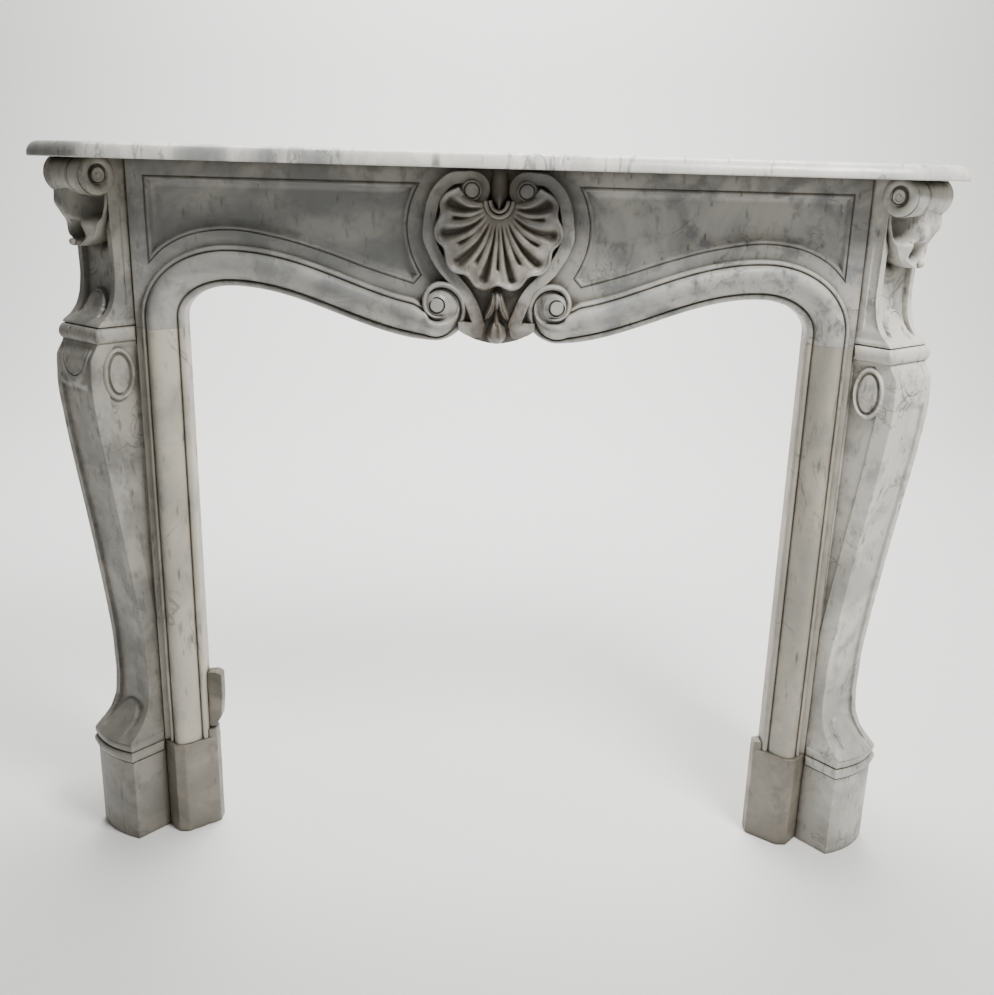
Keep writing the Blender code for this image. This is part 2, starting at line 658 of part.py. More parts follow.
def console_section(up):
    """Give the console's section at a height as (reach, side) round from the back."""
    out = swell(up)
    reach = smooth_value(REACH, up) if up > TORUS_TOP else FOOT_REACH - FOOT_INSET
    bow = FOOT_BOW * (1 - ease((up - TORUS_TOP) / 0.05))
    left, right = FOOT_INSET - out, FOOT_INSET + CONSOLE_WIDTH + out
    front = reach + out
    width = right - left
    sink = FLANK_SINK * ease((up - on_shaft(0.303)) / 0.08) * ease((RING_BOTTOM - up) / 0.012)
    band = max(front - FLANK_BAND, 0.0095)
    open_shaft = ease((up - on_shaft(0.0545)) / 0.03) * ease((on_shaft(0.9042) - up) / 0.02)
    over = up - SPRING_HEIGHT
    open_throat = ease((over - 0.0332) / 0.02) * ease((0.1252 - over) / 0.02)
    depth = CHANNEL_DEPTH * max(open_shaft, open_throat)

    def face(share):
        side = left + width * share
        return front + bow * (1 - (2 * share - 1) ** 2), side

    border = CHANNEL_BORDER / width
    points = [(band - 0.004, left + sink), (band, left), (front, left)]
    a, b = face(border), face(border + 0.03)
    middle = face(0.5)
    points += [a, (b[0] - depth, b[1]), (middle[0] - depth, middle[1])]
    c, d = face(1 - border - 0.03), face(1 - border)
    points += [(c[0] - depth, c[1]), d, (front, right), (band, right), (band - 0.004, right - sink)]
    return points, left + sink


def console_body():
    """Stack the sections from the floor to the shelf."""
    rings = []
    inner = CONSOLE_JOINT + GAP
    for up in console_rows():
        points, flank = console_section(up)
        ring = [world(inner, -CONSOLE_BACK, up)]
        lean = (inner - CONSOLE_JOINT - flank * sin(DIAGONAL)) / cos(DIAGONAL)
        ring.append(on_diagonal(lean, flank, up))
        ring += [on_diagonal(r, s, up) for r, s in points]
        last_side = points[-1][1]
        reach = (CONSOLE_BACK - last_side * cos(DIAGONAL)) / sin(DIAGONAL)
        ring.append(on_diagonal(-reach, last_side, up))
        rings.append(ring)
    return loft(rings)


def console_scroll():
    """Roll at the top: a cylinder across the face with a raised middle and two borders."""
    wide = FOOT_WIDTH
    third = wide * 0.36
    stops = [(0.0, -0.001), (third - 0.003, 0.0), (third, -0.0025), (third + 0.003, 0.001),
             (wide - third - 0.003, 0.001), (wide - third, -0.0025), (wide - third + 0.003, 0.0),
             (wide, -0.001)]
    rings = []
    for side, more in stops:
        radius = SCROLL_RADIUS + more
        rings.append([on_diagonal(SCROLL_REACH + radius * cos(a), side,
                                  min(SCROLL_HEIGHT + radius * sin(a), PIECE_TOP))
                      for a in (np.arange(12) + 0.5) * 2 * pi / 12])
    return loft(rings)


def console_eye(side, outward):
    """Snail eye on the end of the roll."""
    rings = [(0.0250, 0.004), (0.0235, -0.0015), (0.0160, -0.0015), (0.0140, 0.0005),
             (0.0100, 0.0005), (0.0080, -0.0042)]
    out = []
    for radius, depth in rings:
        out.append([on_diagonal(SCROLL_REACH - 0.001 + radius * cos(a), side + outward * depth,
                                min(SCROLL_HEIGHT + radius * sin(a), PIECE_TOP))
                    for a in np.arange(12) * 2 * pi / 12])
    return loft(out)


def medallion():
    """Raised oval ring and boss at the top of the inner flank."""
    centre, height = 0.0305, RING_BOTTOM - 0.0455
    steps = [(0.0262, 0.0385, 0.009), (0.0258, 0.0380, 0.000), (0.0225, 0.0345, -0.0022),
             (0.0180, 0.0300, 0.0005), (0.0125, 0.0255, 0.0005), (0.0112, 0.0240, -0.0018),
             (0.0075, 0.0200, -0.0024)]
    out = []
    for half, tall, depth in steps:
        out.append([on_diagonal(centre + half * cos(a), FOOT_INSET + depth, height + tall * sin(a))
                    for a in np.arange(12) * 2 * pi / 12])
    return loft(out)


def leaf():
    """Acanthus leaf that hangs from the roll: raised rims and midrib, and a tip that curls out."""
    middle = FOOT_WIDTH / 2
    rows = [(0.0150, 0.0450, 0.036, 0.044), (0.0390, 0.0450, 0.036, 0.050), (0.0550, 0.0440, 0.037, 0.052),
            (0.0690, 0.0400, 0.041, 0.053), (0.0810, 0.0300, 0.048, 0.056), (0.0900, 0.0170, 0.055, 0.060),
            (0.0970, 0.0060, 0.058, 0.061)]
    shares = (-1.0, -0.86, -0.5, -0.16, 0.0, 0.16, 0.5, 0.86, 1.0)
    rings = []
    for drop, half, rim, rib in rows:
        up = SCROLL_HEIGHT - drop
        hollow = 0.016 * min(half / 0.04, 1.0)
        depth = {1.0: rim - 0.004, 0.86: rim, 0.5: min(rim, rib) - hollow, 0.16: rib - 0.003, 0.0: rib}
        front = [on_diagonal(depth[abs(s)], middle + half * s, up) for s in shares]
        back = [on_diagonal(0.012, middle + half * 0.7, up + 0.004),
                on_diagonal(0.012, middle - half * 0.7, up + 0.004)]
        rings.append(front + back)
    return loft(rings)


def console(name, hand, mat):
    """One console block: foot, shaft, ring, throat, leaf and roll."""
    body = make_object(name, *hand(console_body()), mat)
    combine(body, name + "_roll", hand(console_scroll()), "UNION")
    combine(body, name + "_leaf", hand(leaf()), "UNION")
    combine(body, name + "_eye", hand(console_eye(0.0, 1)), "UNION")
    combine(body, name + "_medallion", hand(medallion()), "UNION")
    return body


def as_is(shape):
    """Leave a right-hand shape as it is."""
    return shape


def main():
    """Build the mantel."""
    for obj in list(bpy.data.objects):
        bpy.data.objects.remove(obj)
    marble = material("white_grey_marble", (0.62, 0.61, 0.58), 0.45)
    shelf_marble = material("polished_shelf_marble", (0.70, 0.69, 0.66), 0.30)
    shelf(shelf_marble)
    frieze(marble)
    for side, hand in (("left", mirrored), ("right", as_is)):
        console(side + "_console", hand, marble)
        make_object(side + "_slip", *hand(slip()), marble)
        block, lug = plinth()
        base = make_object(side + "_plinth", *hand(block), marble)
        combine(base, side + "_plinth_lug", hand(lug), "UNION")
        make_object(side + "_return", *hand(side_return()), marble)
    make_object("left_slab_remnant", *mirrored(remnant()), marble)


main()
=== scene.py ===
"""A carved marble fireplace mantel, dressed over its fixed solids.

Metres, +Z up.  The front looks along -Y and the wall is at +Y.  A point on the mantel is
given as (across, forward, up): forward is measured from the frieze's flat front.
"""
# %% [markdown]
# The mantel is eleven pieces of marble that stand on and against each other.  The packed
# solids are loaded first and never moved.  Each surface below is worked out again, finer,
# around the solid that it stands for, so that it has the soft arrises, the hand-cut
# unevenness and the deep shadows of old carving.

# %% Load the solids
import bpy
import bmesh
import numpy as np
from math import cos, hypot, pi, radians, sin
from mathutils import Matrix, Vector


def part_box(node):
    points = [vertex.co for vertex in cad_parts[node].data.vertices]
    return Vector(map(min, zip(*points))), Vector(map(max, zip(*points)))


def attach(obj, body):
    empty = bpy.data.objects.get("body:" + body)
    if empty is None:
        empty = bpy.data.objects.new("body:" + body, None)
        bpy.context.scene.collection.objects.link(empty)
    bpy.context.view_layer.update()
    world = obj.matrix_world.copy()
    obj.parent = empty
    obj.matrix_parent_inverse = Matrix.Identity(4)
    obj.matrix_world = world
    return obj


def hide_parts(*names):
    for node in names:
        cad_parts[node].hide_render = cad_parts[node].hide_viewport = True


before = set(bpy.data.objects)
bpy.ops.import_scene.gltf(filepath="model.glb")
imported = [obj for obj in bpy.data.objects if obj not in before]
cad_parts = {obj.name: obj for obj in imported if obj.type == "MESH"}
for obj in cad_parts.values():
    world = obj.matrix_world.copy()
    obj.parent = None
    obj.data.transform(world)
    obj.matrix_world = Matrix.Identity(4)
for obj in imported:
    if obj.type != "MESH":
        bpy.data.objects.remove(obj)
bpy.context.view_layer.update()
print("solids", sorted(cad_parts))

# %% [markdown]
# Sizes are read from the solids where a solid shows them, so that every new surface sits
# where the solid is.  The rest are the carver's own sizes, in metres.

# %% Sizes
shelf_low, shelf_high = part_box("shelf")
slip_low, slip_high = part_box("right_slip")
plinth_low, plinth_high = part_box("right_plinth")
remnant_low, remnant_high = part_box("left_slab_remnant")
return_low, return_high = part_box("right_return")

GAP = 0.0003
SHELF_REACH = 0.085
SHELF_BREAK = 0.010
BREAK_HALF_WIDTH = 0.078
BREAK_EASE = 0.015
CANT_START = 0.560
FRONT_Y = shelf_low[1] + SHELF_REACH + SHELF_BREAK
WALL = FRONT_Y - shelf_high[1]
UNDERSIDE, SHELF_TOP, SHELF_HALF = shelf_low[2], shelf_high[2], shelf_high[0]
PIECE_TOP = UNDERSIDE - GAP
CONSOLE_JOINT = slip_high[0] + GAP
OPENING_HALF = slip_low[0]
SLIP_WIDTH = CONSOLE_JOINT - OPENING_HALF
SLIP_THICKNESS = slip_high[1] - FRONT_Y
SPRING_HEIGHT = slip_high[2] + GAP
PLINTH_HEIGHT = slip_low[2] - GAP
FRIEZE_THICKNESS = 0.040
CROWN_ACROSS, CROWN_HEIGHT, CORNER_START = 0.385, 0.8972, 0.850
DIP_ACROSS, DIP_HEIGHT = 0.0861, 0.8268
VOLUTE_HEIGHT, VOLUTE_LIFT, CORE_RADIUS = 0.8808, 0.020, 0.0185
CENTRE_DROP = 0.8245
print("frieze plane", round(FRONT_Y, 4), "opening", round(2 * OPENING_HALF, 4))

# %% [markdown]
# A few helpers carry all the shapes.  A surface is an array of rings of points: each ring
# is a closed loop, and the rings are skinned with quads and closed at both ends.  Smooth
# lines are drawn through a few points that the carving needs, and a slow random height
# stands for the unevenness of hand work.

# %% Helpers for points and lines
def place(across, forward, up):
    """Points (x, y, z) = (across, frieze plane - forward, up)."""
    across, forward, up = np.broadcast_arrays(across, forward, up)
    return np.stack([across, FRONT_Y - forward, up], axis=-1).astype(float)


def rise(x, low, high):
    """0 below low, 1 above high, and 3t^2 - 2t^3 between them."""
    t = np.clip((x - low) / (high - low), 0, 1)
    return t * t * (3 - 2 * t)


def hump(x, middle, half):
    """A hump one high: (1 + cos) / 2 of the distance from its middle, gone at half."""
    return 0.5 * (1 + np.cos(pi * np.clip((x - middle) / half, -1, 1)))


def through(points, steps):
    """A smooth line through the points: each span is a cubic set by its four neighbours."""
    p = np.array(points, float)
    p = np.vstack([2 * p[:1] - p[1:2], p, 2 * p[-1:] - p[-2:-1]])
    a, b, c, d = (p[i:len(p) - 3 + i, None] for i in range(4))
    t = (np.arange(steps) / steps)[None, :, None]
    line = 0.5 * (2 * b + (c - a) * t + (2 * a - 5 * b + 4 * c - d) * t ** 2
                  + (3 * b - a - 3 * c + d) * t ** 3)
    return np.vstack([line.reshape(-1, p.shape[1]), p[-2:-1]])


def strokes(parts, steps):
    """One moulding line from several smooth strokes, with a crisp corner where two meet."""
    return np.vstack([through(part, steps) for part in parts])


def waver(u, v, cell, seed):
    """Slow random height in -1..1: a seeded lattice of cells, read with smooth weights."""
    lattice = np.random.default_rng(seed).uniform(-1, 1, (97, 97))
    u, v = np.broadcast_arrays(np.asarray(u) / cell + 40.5, np.asarray(v) / cell + 40.5)
    i, j = np.floor(u).astype(int), np.floor(v).astype(int)
    s, t = rise(u - i, 0, 1), rise(v - j, 0, 1)
    i, j, k, m = i % 97, j % 97, (i + 1) % 97, (j + 1) % 97
    low = lattice[i, j] * (1 - s) + lattice[k, j] * s
    high = lattice[i, m] * (1 - s) + lattice[k, m] * s
    return low * (1 - t) + high * t


def read_knots(knots, at):
    """Values between (place, value) knots by cubics whose slopes never overshoot a knot."""
    x, y = np.array(knots, float).T
    slope = np.diff(y) / np.diff(x)
    both = slope[:-1] * slope[1:]
    inner = np.where(both > 0, 2 * both / np.where(both > 0, slope[:-1] + slope[1:], 1), 0)
    tangent = np.concatenate([[0], inner, [0]])
    i = np.clip(np.searchsorted(x, at) - 1, 0, len(x) - 2)
    span = x[i + 1] - x[i]
    t = np.clip((at - x[i]) / span, 0, 1)
    return ((2 * t ** 3 - 3 * t ** 2 + 1) * y[i] + (t ** 3 - 2 * t ** 2 + t) * span * tangent[i]
            + (3 * t ** 2 - 2 * t ** 3) * y[i + 1] + (t ** 3 - t ** 2) * span * tangent[i + 1])


# %% Helpers for meshes
def skin(rings, hand=1):
    """Turn an array of closed rings (rings, points, 3) into a closed mesh object."""
    rings = np.asarray(rings, float) * (hand, 1, 1)
    rows, count = rings.shape[:2]
    i, j = np.meshgrid(np.arange(rows - 1), np.arange(count), indexing="ij")
    k = (j + 1) % count
    quads = np.stack([i * count + j, i * count + k, (i + 1) * count + k, (i + 1) * count + j], -1)
    faces = quads.reshape(-1, 4).tolist()
    faces += [list(range(count - 1, -1, -1)), list(range((rows - 1) * count, rows * count))]
    mesh = bpy.data.meshes.new("skin")
    mesh.from_pydata(rings.reshape(-1, 3).tolist(), [], faces)
    shape = bmesh.new()
    shape.from_mesh(mesh)
    bmesh.ops.triangulate(shape, faces=[f for f in shape.faces if len(f.verts) > 4])
    bmesh.ops.recalc_face_normals(shape, faces=shape.faces)
    shape.to_mesh(mesh)
    shape.free()
    obj = bpy.data.objects.new("skin", mesh)
    bpy.context.scene.collection.objects.link(obj)
    return obj


def both_hands(rings):
    """The same closed surface on the right and, mirrored, on the left."""
    return [skin(rings), skin(rings, -1)]


def fuse(name, body, tools, cuts=()):
    """Cut the cuts from a body, join the tools to it, and give one clean mesh object.

    Two faces back to back that touch nothing else are a leftover of the cutting, and go.
    """
    for tool, operation in [(t, "DIFFERENCE") for t in cuts] + [(t, "UNION") for t in tools]:
        step = body.modifiers.new("step", "BOOLEAN")
        step.operation, step.solver, step.object = operation, "MANIFOLD", tool
    bpy.context.view_layer.update()
    mesh = bpy.data.meshes.new_from_object(body.evaluated_get(bpy.context.evaluated_depsgraph_get()))
    for old in [body, *cuts, *tools]:
        bpy.data.objects.remove(old)
    shape = bmesh.new()
    shape.from_mesh(mesh)
    flat = [f for f in shape.faces if len({g.index for e in f.edges for g in e.link_faces}) == 2]
    bmesh.ops.delete(shape, geom=flat, context="FACES")
    shape.to_mesh(mesh)
    shape.free()
    print(name, "leftover faces removed:", len(flat))
    obj = bpy.data.objects.new(name, mesh)
    bpy.context.scene.collection.objects.link(obj)
    return obj


def finish_piece(obj, name, node, finish, crisp=38):
    """Shade a piece, give it its finish, and tie it to the solid that it stands for."""
    obj.name = name
    obj.data.name = name
    obj.data.shade_smooth()
    obj.data.set_sharp_from_angle(angle=radians(crisp))
    even = obj.modifiers.new("even", "WEIGHTED_NORMAL")
    even.keep_sharp = True
    obj.data.materials.clear()
    obj.data.materials.append(finish)
    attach(obj, "root")
    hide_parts(node)
    obj.data.calc_loop_triangles()
    print(name, len(obj.data.loop_triangles), "triangles")
    return obj


# %% [markdown]
# The stone is a white marble with soft grey clouds, short dark veins, flecks and pits.  It
# was rubbed smooth by hand and has aged.  Painted shade, with some dust in it, darkens the
# hollows and leaves the arrises clean, and a wider painted shade darkens big recesses and
# the frieze under the shelf.  The clouds are a slow noise about 150 mm across, the mottling
# one of 35 mm, the flecks one of 16 mm drawn out aslant, and the pits lie 22 mm apart.  The
# veins are the thin level lines of a twisted noise, and the painted shade follows how shut
# in a point is.  The grit of 1.8 mm is coarser than the real one, so that it shows.

# %% Marble
def linear(code):
    """A colour from its sRGB hex code, turned to linear."""
    parts = np.array([int(code[i:i + 2], 16) for i in (1, 3, 5)]) / 255
    return (*np.where(parts <= 0.04045, parts / 12.92, ((parts + 0.055) / 1.055) ** 2.4), 1.0)


def add(tree, kind, inputs, out=0, **settings):
    """Add a node with its settings, and give one of its outputs.

    inputs go by order or by name: an output is linked, and anything else is set as a value.
    """
    node = tree.nodes.new("ShaderNode" + kind)
    for key, value in settings.items():
        setattr(node, key, value)
    for key, value in inputs.items() if isinstance(inputs, dict) else enumerate(inputs):
        if isinstance(value, bpy.types.NodeSocket):
            tree.links.new(value, node.inputs[key])
        else:
            node.inputs[key].default_value = value
    return node.outputs[out]


SHARE, FIRST, SECOND, MIXED = 0, 6, 7, 2
COLOURS = {"out": MIXED, "data_type": "RGBA"}
SOFT = {"interpolation_type": "SMOOTHSTEP"}
# the second colour is painted shade with some dust, laid in shut-in places, and the last number is the most
# of it
PIT_COLOUR, SHADE_AND_DUST_COLOUR, MARBLE_IOR, MOST_SHADE_AND_DUST = "#55534c", "#544d42", 1.5, 0.92


def marble(name, shift, base, cloud, vein, shade_and_dust=1.0, cloudy=0.5, streak=(1, 1, 1), stains_and_painted_shade=(), rough=0.46):
    """White-grey marble: clouds, level-line veins, pits, flecks, and painted shade in the hollows.

    colour = base -> cloud by slow noise -> vein near a noise's level line -> pits -> flecks
    -> stains and patches of painted shade -> painted shade with some dust by how shut in the
    point is.  shift moves the pattern, as each block's differs.
    """
    mat = bpy.data.materials.new(name)
    mat.use_nodes = True
    tree = mat.node_tree
    shader = tree.nodes["Principled BSDF"]
    shader.inputs["IOR"].default_value = MARBLE_IOR
    at = add(tree, "TexCoord", (), "Object")
    here = add(tree, "Mapping", {"Vector": at, "Location": shift, "Scale": streak})
    aslant = add(tree, "Mapping", {"Vector": here, "Scale": (1.8, 1.0, 0.55), "Rotation": (0.4, 0.9, 0.2)})
    # each noise: where it is read, its size in metres, detail, roughness, distortion
    slow, patch, twist, where, grit, fleck = (
        add(tree, "TexNoise", {"Vector": point, "Scale": 1 / size, "Detail": detail, "Roughness": coarse,
                               "Distortion": bend})
        for point, size, detail, coarse, bend in (
            (here, 0.150, 5.0, 0.62, 0.7), (here, 0.035, 4.0, 0.60, 0.0),
            (here, 0.110, 6.0, 0.55, 1.6), (here, 0.090, 2.0, 0.50, 0.0),
            (here, 0.0018, 3.0, 0.50, 0.0), (aslant, 0.016, 2.0, 0.55, 0.0)))

    clouds = add(tree, "MapRange", (slow, 0.40, 0.64, 0, cloudy), **SOFT)
    colour = add(tree, "Mix", {SHARE: clouds, FIRST: linear(base), SECOND: linear(cloud)}, **COLOURS)
    mottle = add(tree, "MapRange", (patch, 0.50, 0.70, 0, cloudy * 0.9), **SOFT)
    colour = add(tree, "Mix", {SHARE: mottle, FIRST: colour, SECOND: linear(cloud)}, **COLOURS)

    off_level = add(tree, "Math", (twist, 0.5), operation="SUBTRACT")
    level = add(tree, "Math", (off_level,), operation="ABSOLUTE")
    dot = add(tree, "TexVoronoi", {"Vector": aslant, "Scale": 1 / 0.022}, "Distance")
    # veins, pits and flecks: the mark's own range, the range where it occurs, strength, colour
    marks = []
    for own, gate, strength, tint in (
            ((level, 0.0, 0.020, 1, 0), (where, 0.50, 0.62, 0, 1), 0.65, vein),
            ((dot, 0.05, 0.22, 1, 0), (patch, 0.44, 0.56, 0, 1), 0.75, PIT_COLOUR),
            ((fleck, 0.60, 0.70, 0, 1), (where, 0.36, 0.56, 0, 1), 0.55, vein)):
        shown, allowed = (add(tree, "MapRange", values, **SOFT) for values in (own, gate))
        marks.append(add(tree, "Math", (shown, allowed), operation="MULTIPLY"))
        share = add(tree, "Math", (marks[-1], strength), operation="MULTIPLY")
        colour = add(tree, "Mix", {SHARE: share, FIRST: colour, SECOND: linear(tint)}, **COLOURS)

    # each entry is a real stain or a patch of painted shade: a darker colour laid round a place, with a
    # ragged edge
    for place_at, reach, tint, strength in stains_and_painted_shade:
        far = add(tree, "VectorMath", (at, place_at), "Value", operation="DISTANCE")
        edge = add(tree, "Math", (patch, -reach), operation="MULTIPLY")
        ragged = add(tree, "Math", (far, edge), operation="ADD")
        share = add(tree, "MapRange", (ragged, -0.35 * reach, 0.45 * reach, strength, 0), **SOFT)
        colour = add(tree, "Mix", {SHARE: share, FIRST: colour, SECOND: linear(tint)}, **COLOURS)

    # painted shade with some dust: ambient occlusion darkens grooves within 14 mm and, wider, big hollows and
    # the frieze under the shelf within 100 mm; the mottling makes it patchy
    near, wide = (add(tree, "AmbientOcclusion", {"Distance": reach}, "AO", samples=6)
                  for reach in (0.014, 0.10))
    shade_in_grooves = add(tree, "MapRange", (near, 0.25, 0.92, 0.52 * shade_and_dust, 0), **SOFT)
    shade_in_hollows = add(tree, "MapRange", (wide, 0.2, 0.95, 0.46 * shade_and_dust, 0), **SOFT)
    shut = add(tree, "Math", (shade_in_grooves, shade_in_hollows), operation="ADD")
    uneven = add(tree, "MapRange", (patch, 0.25, 0.7, 0.75, 1.15), **SOFT)
    shade_with_dust = add(tree, "Math", (shut, uneven), operation="MULTIPLY")
    shade_with_dust = add(tree, "Math", (shade_with_dust, MOST_SHADE_AND_DUST), operation="MINIMUM")
    colour = add(tree, "Mix", {SHARE: shade_with_dust, FIRST: colour, SECOND: linear(SHADE_AND_DUST_COLOUR)}, **COLOURS)
    tree.links.new(colour, shader.inputs["Base Color"])

    gloss = add(tree, "MapRange", (patch, 0.3, 0.7, rough - 0.07, rough + 0.09), **SOFT)
    tree.links.new(gloss, shader.inputs["Roughness"])
    raised = add(tree, "Math", (grit, 0.35), operation="MULTIPLY")
    sunk = add(tree, "Math", (marks[1], -1.0), operation="MULTIPLY")
    height = add(tree, "Math", (raised, sunk), operation="ADD")
    relief = add(tree, "Bump", {"Height": height, "Strength": 0.22, "Distance": 0.0008}, "Normal")
    tree.links.new(relief, shader.inputs["Normal"])
    return mat


# Hand rubbing leaves marble with a soft, broad sheen, and the shelf is polished, so its
# lights are tighter.  A finish says where its pattern starts, its colours, how much painted
# shade with dust its hollows take, how cloudy it is, and its stains and patches of painted
# shade, each as (place, reach, colour, strength).
frieze_stone = marble("hand_rubbed_frieze_marble", (3.1, 0.4, 1.7), base="#bfbdb5", cloud="#74777a",
                      vein="#6b6a65", shade_and_dust=1.15, cloudy=0.85,
                      # painted shade: a broad grey patch darkens the left half of the frieze, which gets less
                      # light
                      stains_and_painted_shade=[((-0.34, FRONT_Y, 0.92), 0.75, "#85847d", 0.42),
                              ((0.0, FRONT_Y - 0.02, 0.975), 0.115, "#7d705c", 0.50),
                              # a dark patch round the husk under the shell
                              ((0.0, FRONT_Y - 0.015, 0.862), 0.070, "#564d40", 0.85),
                              # painted shadow of the shelf: a dark patch on the tongue and the top of the
                              # cartouche
                              ((0.0, FRONT_Y - 0.015, 1.060), 0.060, "#55524a", 0.80)])
slip_stone = marble("hand_rubbed_slip_marble", (0.7, 2.9, 0.2), base="#b9b3a4", cloud="#86857d",
                    vein="#6f6d66", streak=(1, 1, 0.6), cloudy=0.55)
# a darker base than the right console's: partly the stone's own tone, partly painted shade for the less lit
# left side
left_stone = marble("hand_rubbed_left_console_marble", (5.2, 1.3, 4.4), base="#a3a096",
                    cloud="#6b6b66", vein="#5a5a56", cloudy=0.8,
                    # painted shade: the console darkens towards its foot, where less light reaches
                    stains_and_painted_shade=[((-0.57, FRONT_Y - 0.03, 0.05), 0.50, "#6d6a61", 0.55)])
# a much lighter base than the left console's: partly the stone's own tone, partly painted light from the lamp
# side
right_stone = marble("hand_rubbed_right_console_marble", (1.9, 6.1, 2.5), base="#e8e5db",
                     cloud="#9d9e99", vein="#74736e", cloudy=0.6,
                     # painted shade: the console's inner flank darkens towards its foot, where less light
                     # reaches
                     stains_and_painted_shade=[((0.49, FRONT_Y - 0.01, 0.06), 0.34, "#8b8980", 0.60)])
block_stone = marble("worn_plinth_marble", (8.3, 0.9, 0.6), base="#8d8678", cloud="#68655d",
                     vein="#6b675f", cloudy=0.75, shade_and_dust=1.2,
                     # a dark patch at the top of the broken slab, beside the slip
                     stains_and_painted_shade=[((-OPENING_HALF + 0.008, FRONT_Y + 0.03, 0.285), 0.085, "#47463a", 0.85)])
shelf_stone = marble("polished_shelf_marble", (0.35, 0.0, 0.0), base="#efece1", cloud="#a2a3a1",
                     vein="#6d6f70", cloudy=0.5, shade_and_dust=0.6, streak=(1, 0.5, 0.5), rough=0.32,
                     stains_and_painted_shade=[((-0.62, FRONT_Y - 0.07, 1.08), 0.11, "#6f6f6a", 0.85),
                             ((-0.405, FRONT_Y - 0.085, 1.08), 0.050, "#77797a", 0.75),
                             ((-0.315, FRONT_Y - 0.085, 1.08), 0.040, "#77797a", 0.75),
                             ((-0.245, FRONT_Y - 0.085, 1.08), 0.045, "#808281", 0.75)])
print("finishes", len([m for m in bpy.data.materials if "marble" in m.name]))

# %% [markdown]
# The jamb moulding runs up each slip and turns into the arch.  Its section is drawn as
# smooth strokes with crisp corners between them.  From the console inwards they are a flat
# margin, a small roll, the broad swelling face, a groove, and the lip of the opening.

# %% Jamb moulding
MARGIN = [(GAP, -0.0014), (GAP + 0.0012, 0.0), (0.006, 0.0), (0.0108, 0.0)]
OUTER_ROLL = [(0.0114, 0.0040), (0.0124, 0.0078), (0.0145, 0.0100), (0.0168, 0.0102), (0.0184, 0.0088)]
SWELL = [(0.0193, 0.0080), (0.0206, 0.0122), (0.0245, 0.0164), (0.0300, 0.0182), (0.0365, 0.0172),
         (0.0440, 0.0130), (0.0520, 0.0062), (0.0594, -0.0022)]
INNER_GROOVE = [(0.0600, -0.0046), (0.0609, -0.0062), (0.0619, -0.0056)]
LIP = [(0.0624, -0.0038), (0.0642, -0.0032), (0.0668, -0.0040), (0.0688, -0.0060), (0.0700, -0.0092),
       (SLIP_WIDTH, -0.0135)]
BAND_WIDTH = SLIP_WIDTH - OUTER_ROLL[0][0]
moulding = strokes([OUTER_ROLL, SWELL, INNER_GROOVE, LIP], 5)
print("moulding points", len(moulding))


def slip_rings():
    """The moulding carried up: across = joint - distance, forward = moulding, plus a slow waver."""
    back = [(SLIP_WIDTH, -SLIP_THICKNESS * 0.6), (SLIP_WIDTH, -SLIP_THICKNESS),
            (SLIP_WIDTH * 0.5, -SLIP_THICKNESS), (GAP, -SLIP_THICKNESS), (GAP, -0.010)]
    line = np.vstack([MARGIN, moulding, back])
    up = np.linspace(slip_low[2], slip_high[2], 170)[:, None]
    inset, forward = line[None, :, 0], line[None, :, 1]
    uneven = 0.00035 * waver(up, inset, 0.045, 3) * (forward > -0.014)
    return place(CONSOLE_JOINT - inset, forward + uneven, up)


for side, hand in (("left", -1), ("right", 1)):
    slip = skin(slip_rings(), hand)
    finish_piece(slip, f"{side}_slip_moulding", f"{side}_slip", slip_stone)

# %% [markdown]
# The plinth block under each slip has a flat nose and two slanting faces.  Its arrises
# are rounded by wear, and the top edge is chipped.  The broken lug at its inner corner
# is what is left of a slab, and so is the taller remnant on the left.

# %% Plinths and the broken slab
PLINTH_NOSE, NOSE_OUT, NOSE_WIDTH = 0.0230, 0.0215, 0.017
OVERHANG = OPENING_HALF - plinth_low[0]
LUG_TOP = plinth_high[2]


def rounded_plan(corners, radius, steps=5):
    """A closed plan whose corners are replaced by arcs of quadratic curves of that reach."""
    p = np.array(corners, float)
    back, ahead = np.roll(p, 1, 0) - p, np.roll(p, -1, 0) - p
    reach = np.minimum(radius, 0.4 * np.minimum(np.hypot(*back.T), np.hypot(*ahead.T)))[:, None]
    start = p + back / np.hypot(*back.T)[:, None] * reach
    end = p + ahead / np.hypot(*ahead.T)[:, None] * reach
    t = np.linspace(0, 1, steps)[None, :, None]
    arcs = (1 - t) ** 2 * start[:, None] + 2 * t * (1 - t) * p[:, None] + t * t * end[:, None]
    return arcs.reshape(-1, 2)


def dense(plan, step):
    """The same closed plan with points no further apart than a step."""
    out = []
    for a, b in zip(plan, np.roll(plan, -1, 0)):
        count = max(1, int(np.ceil(hypot(*(b - a)) / step)))
        out.append(a + (b - a) * (np.arange(count) / count)[:, None])
    return np.vstack(out)


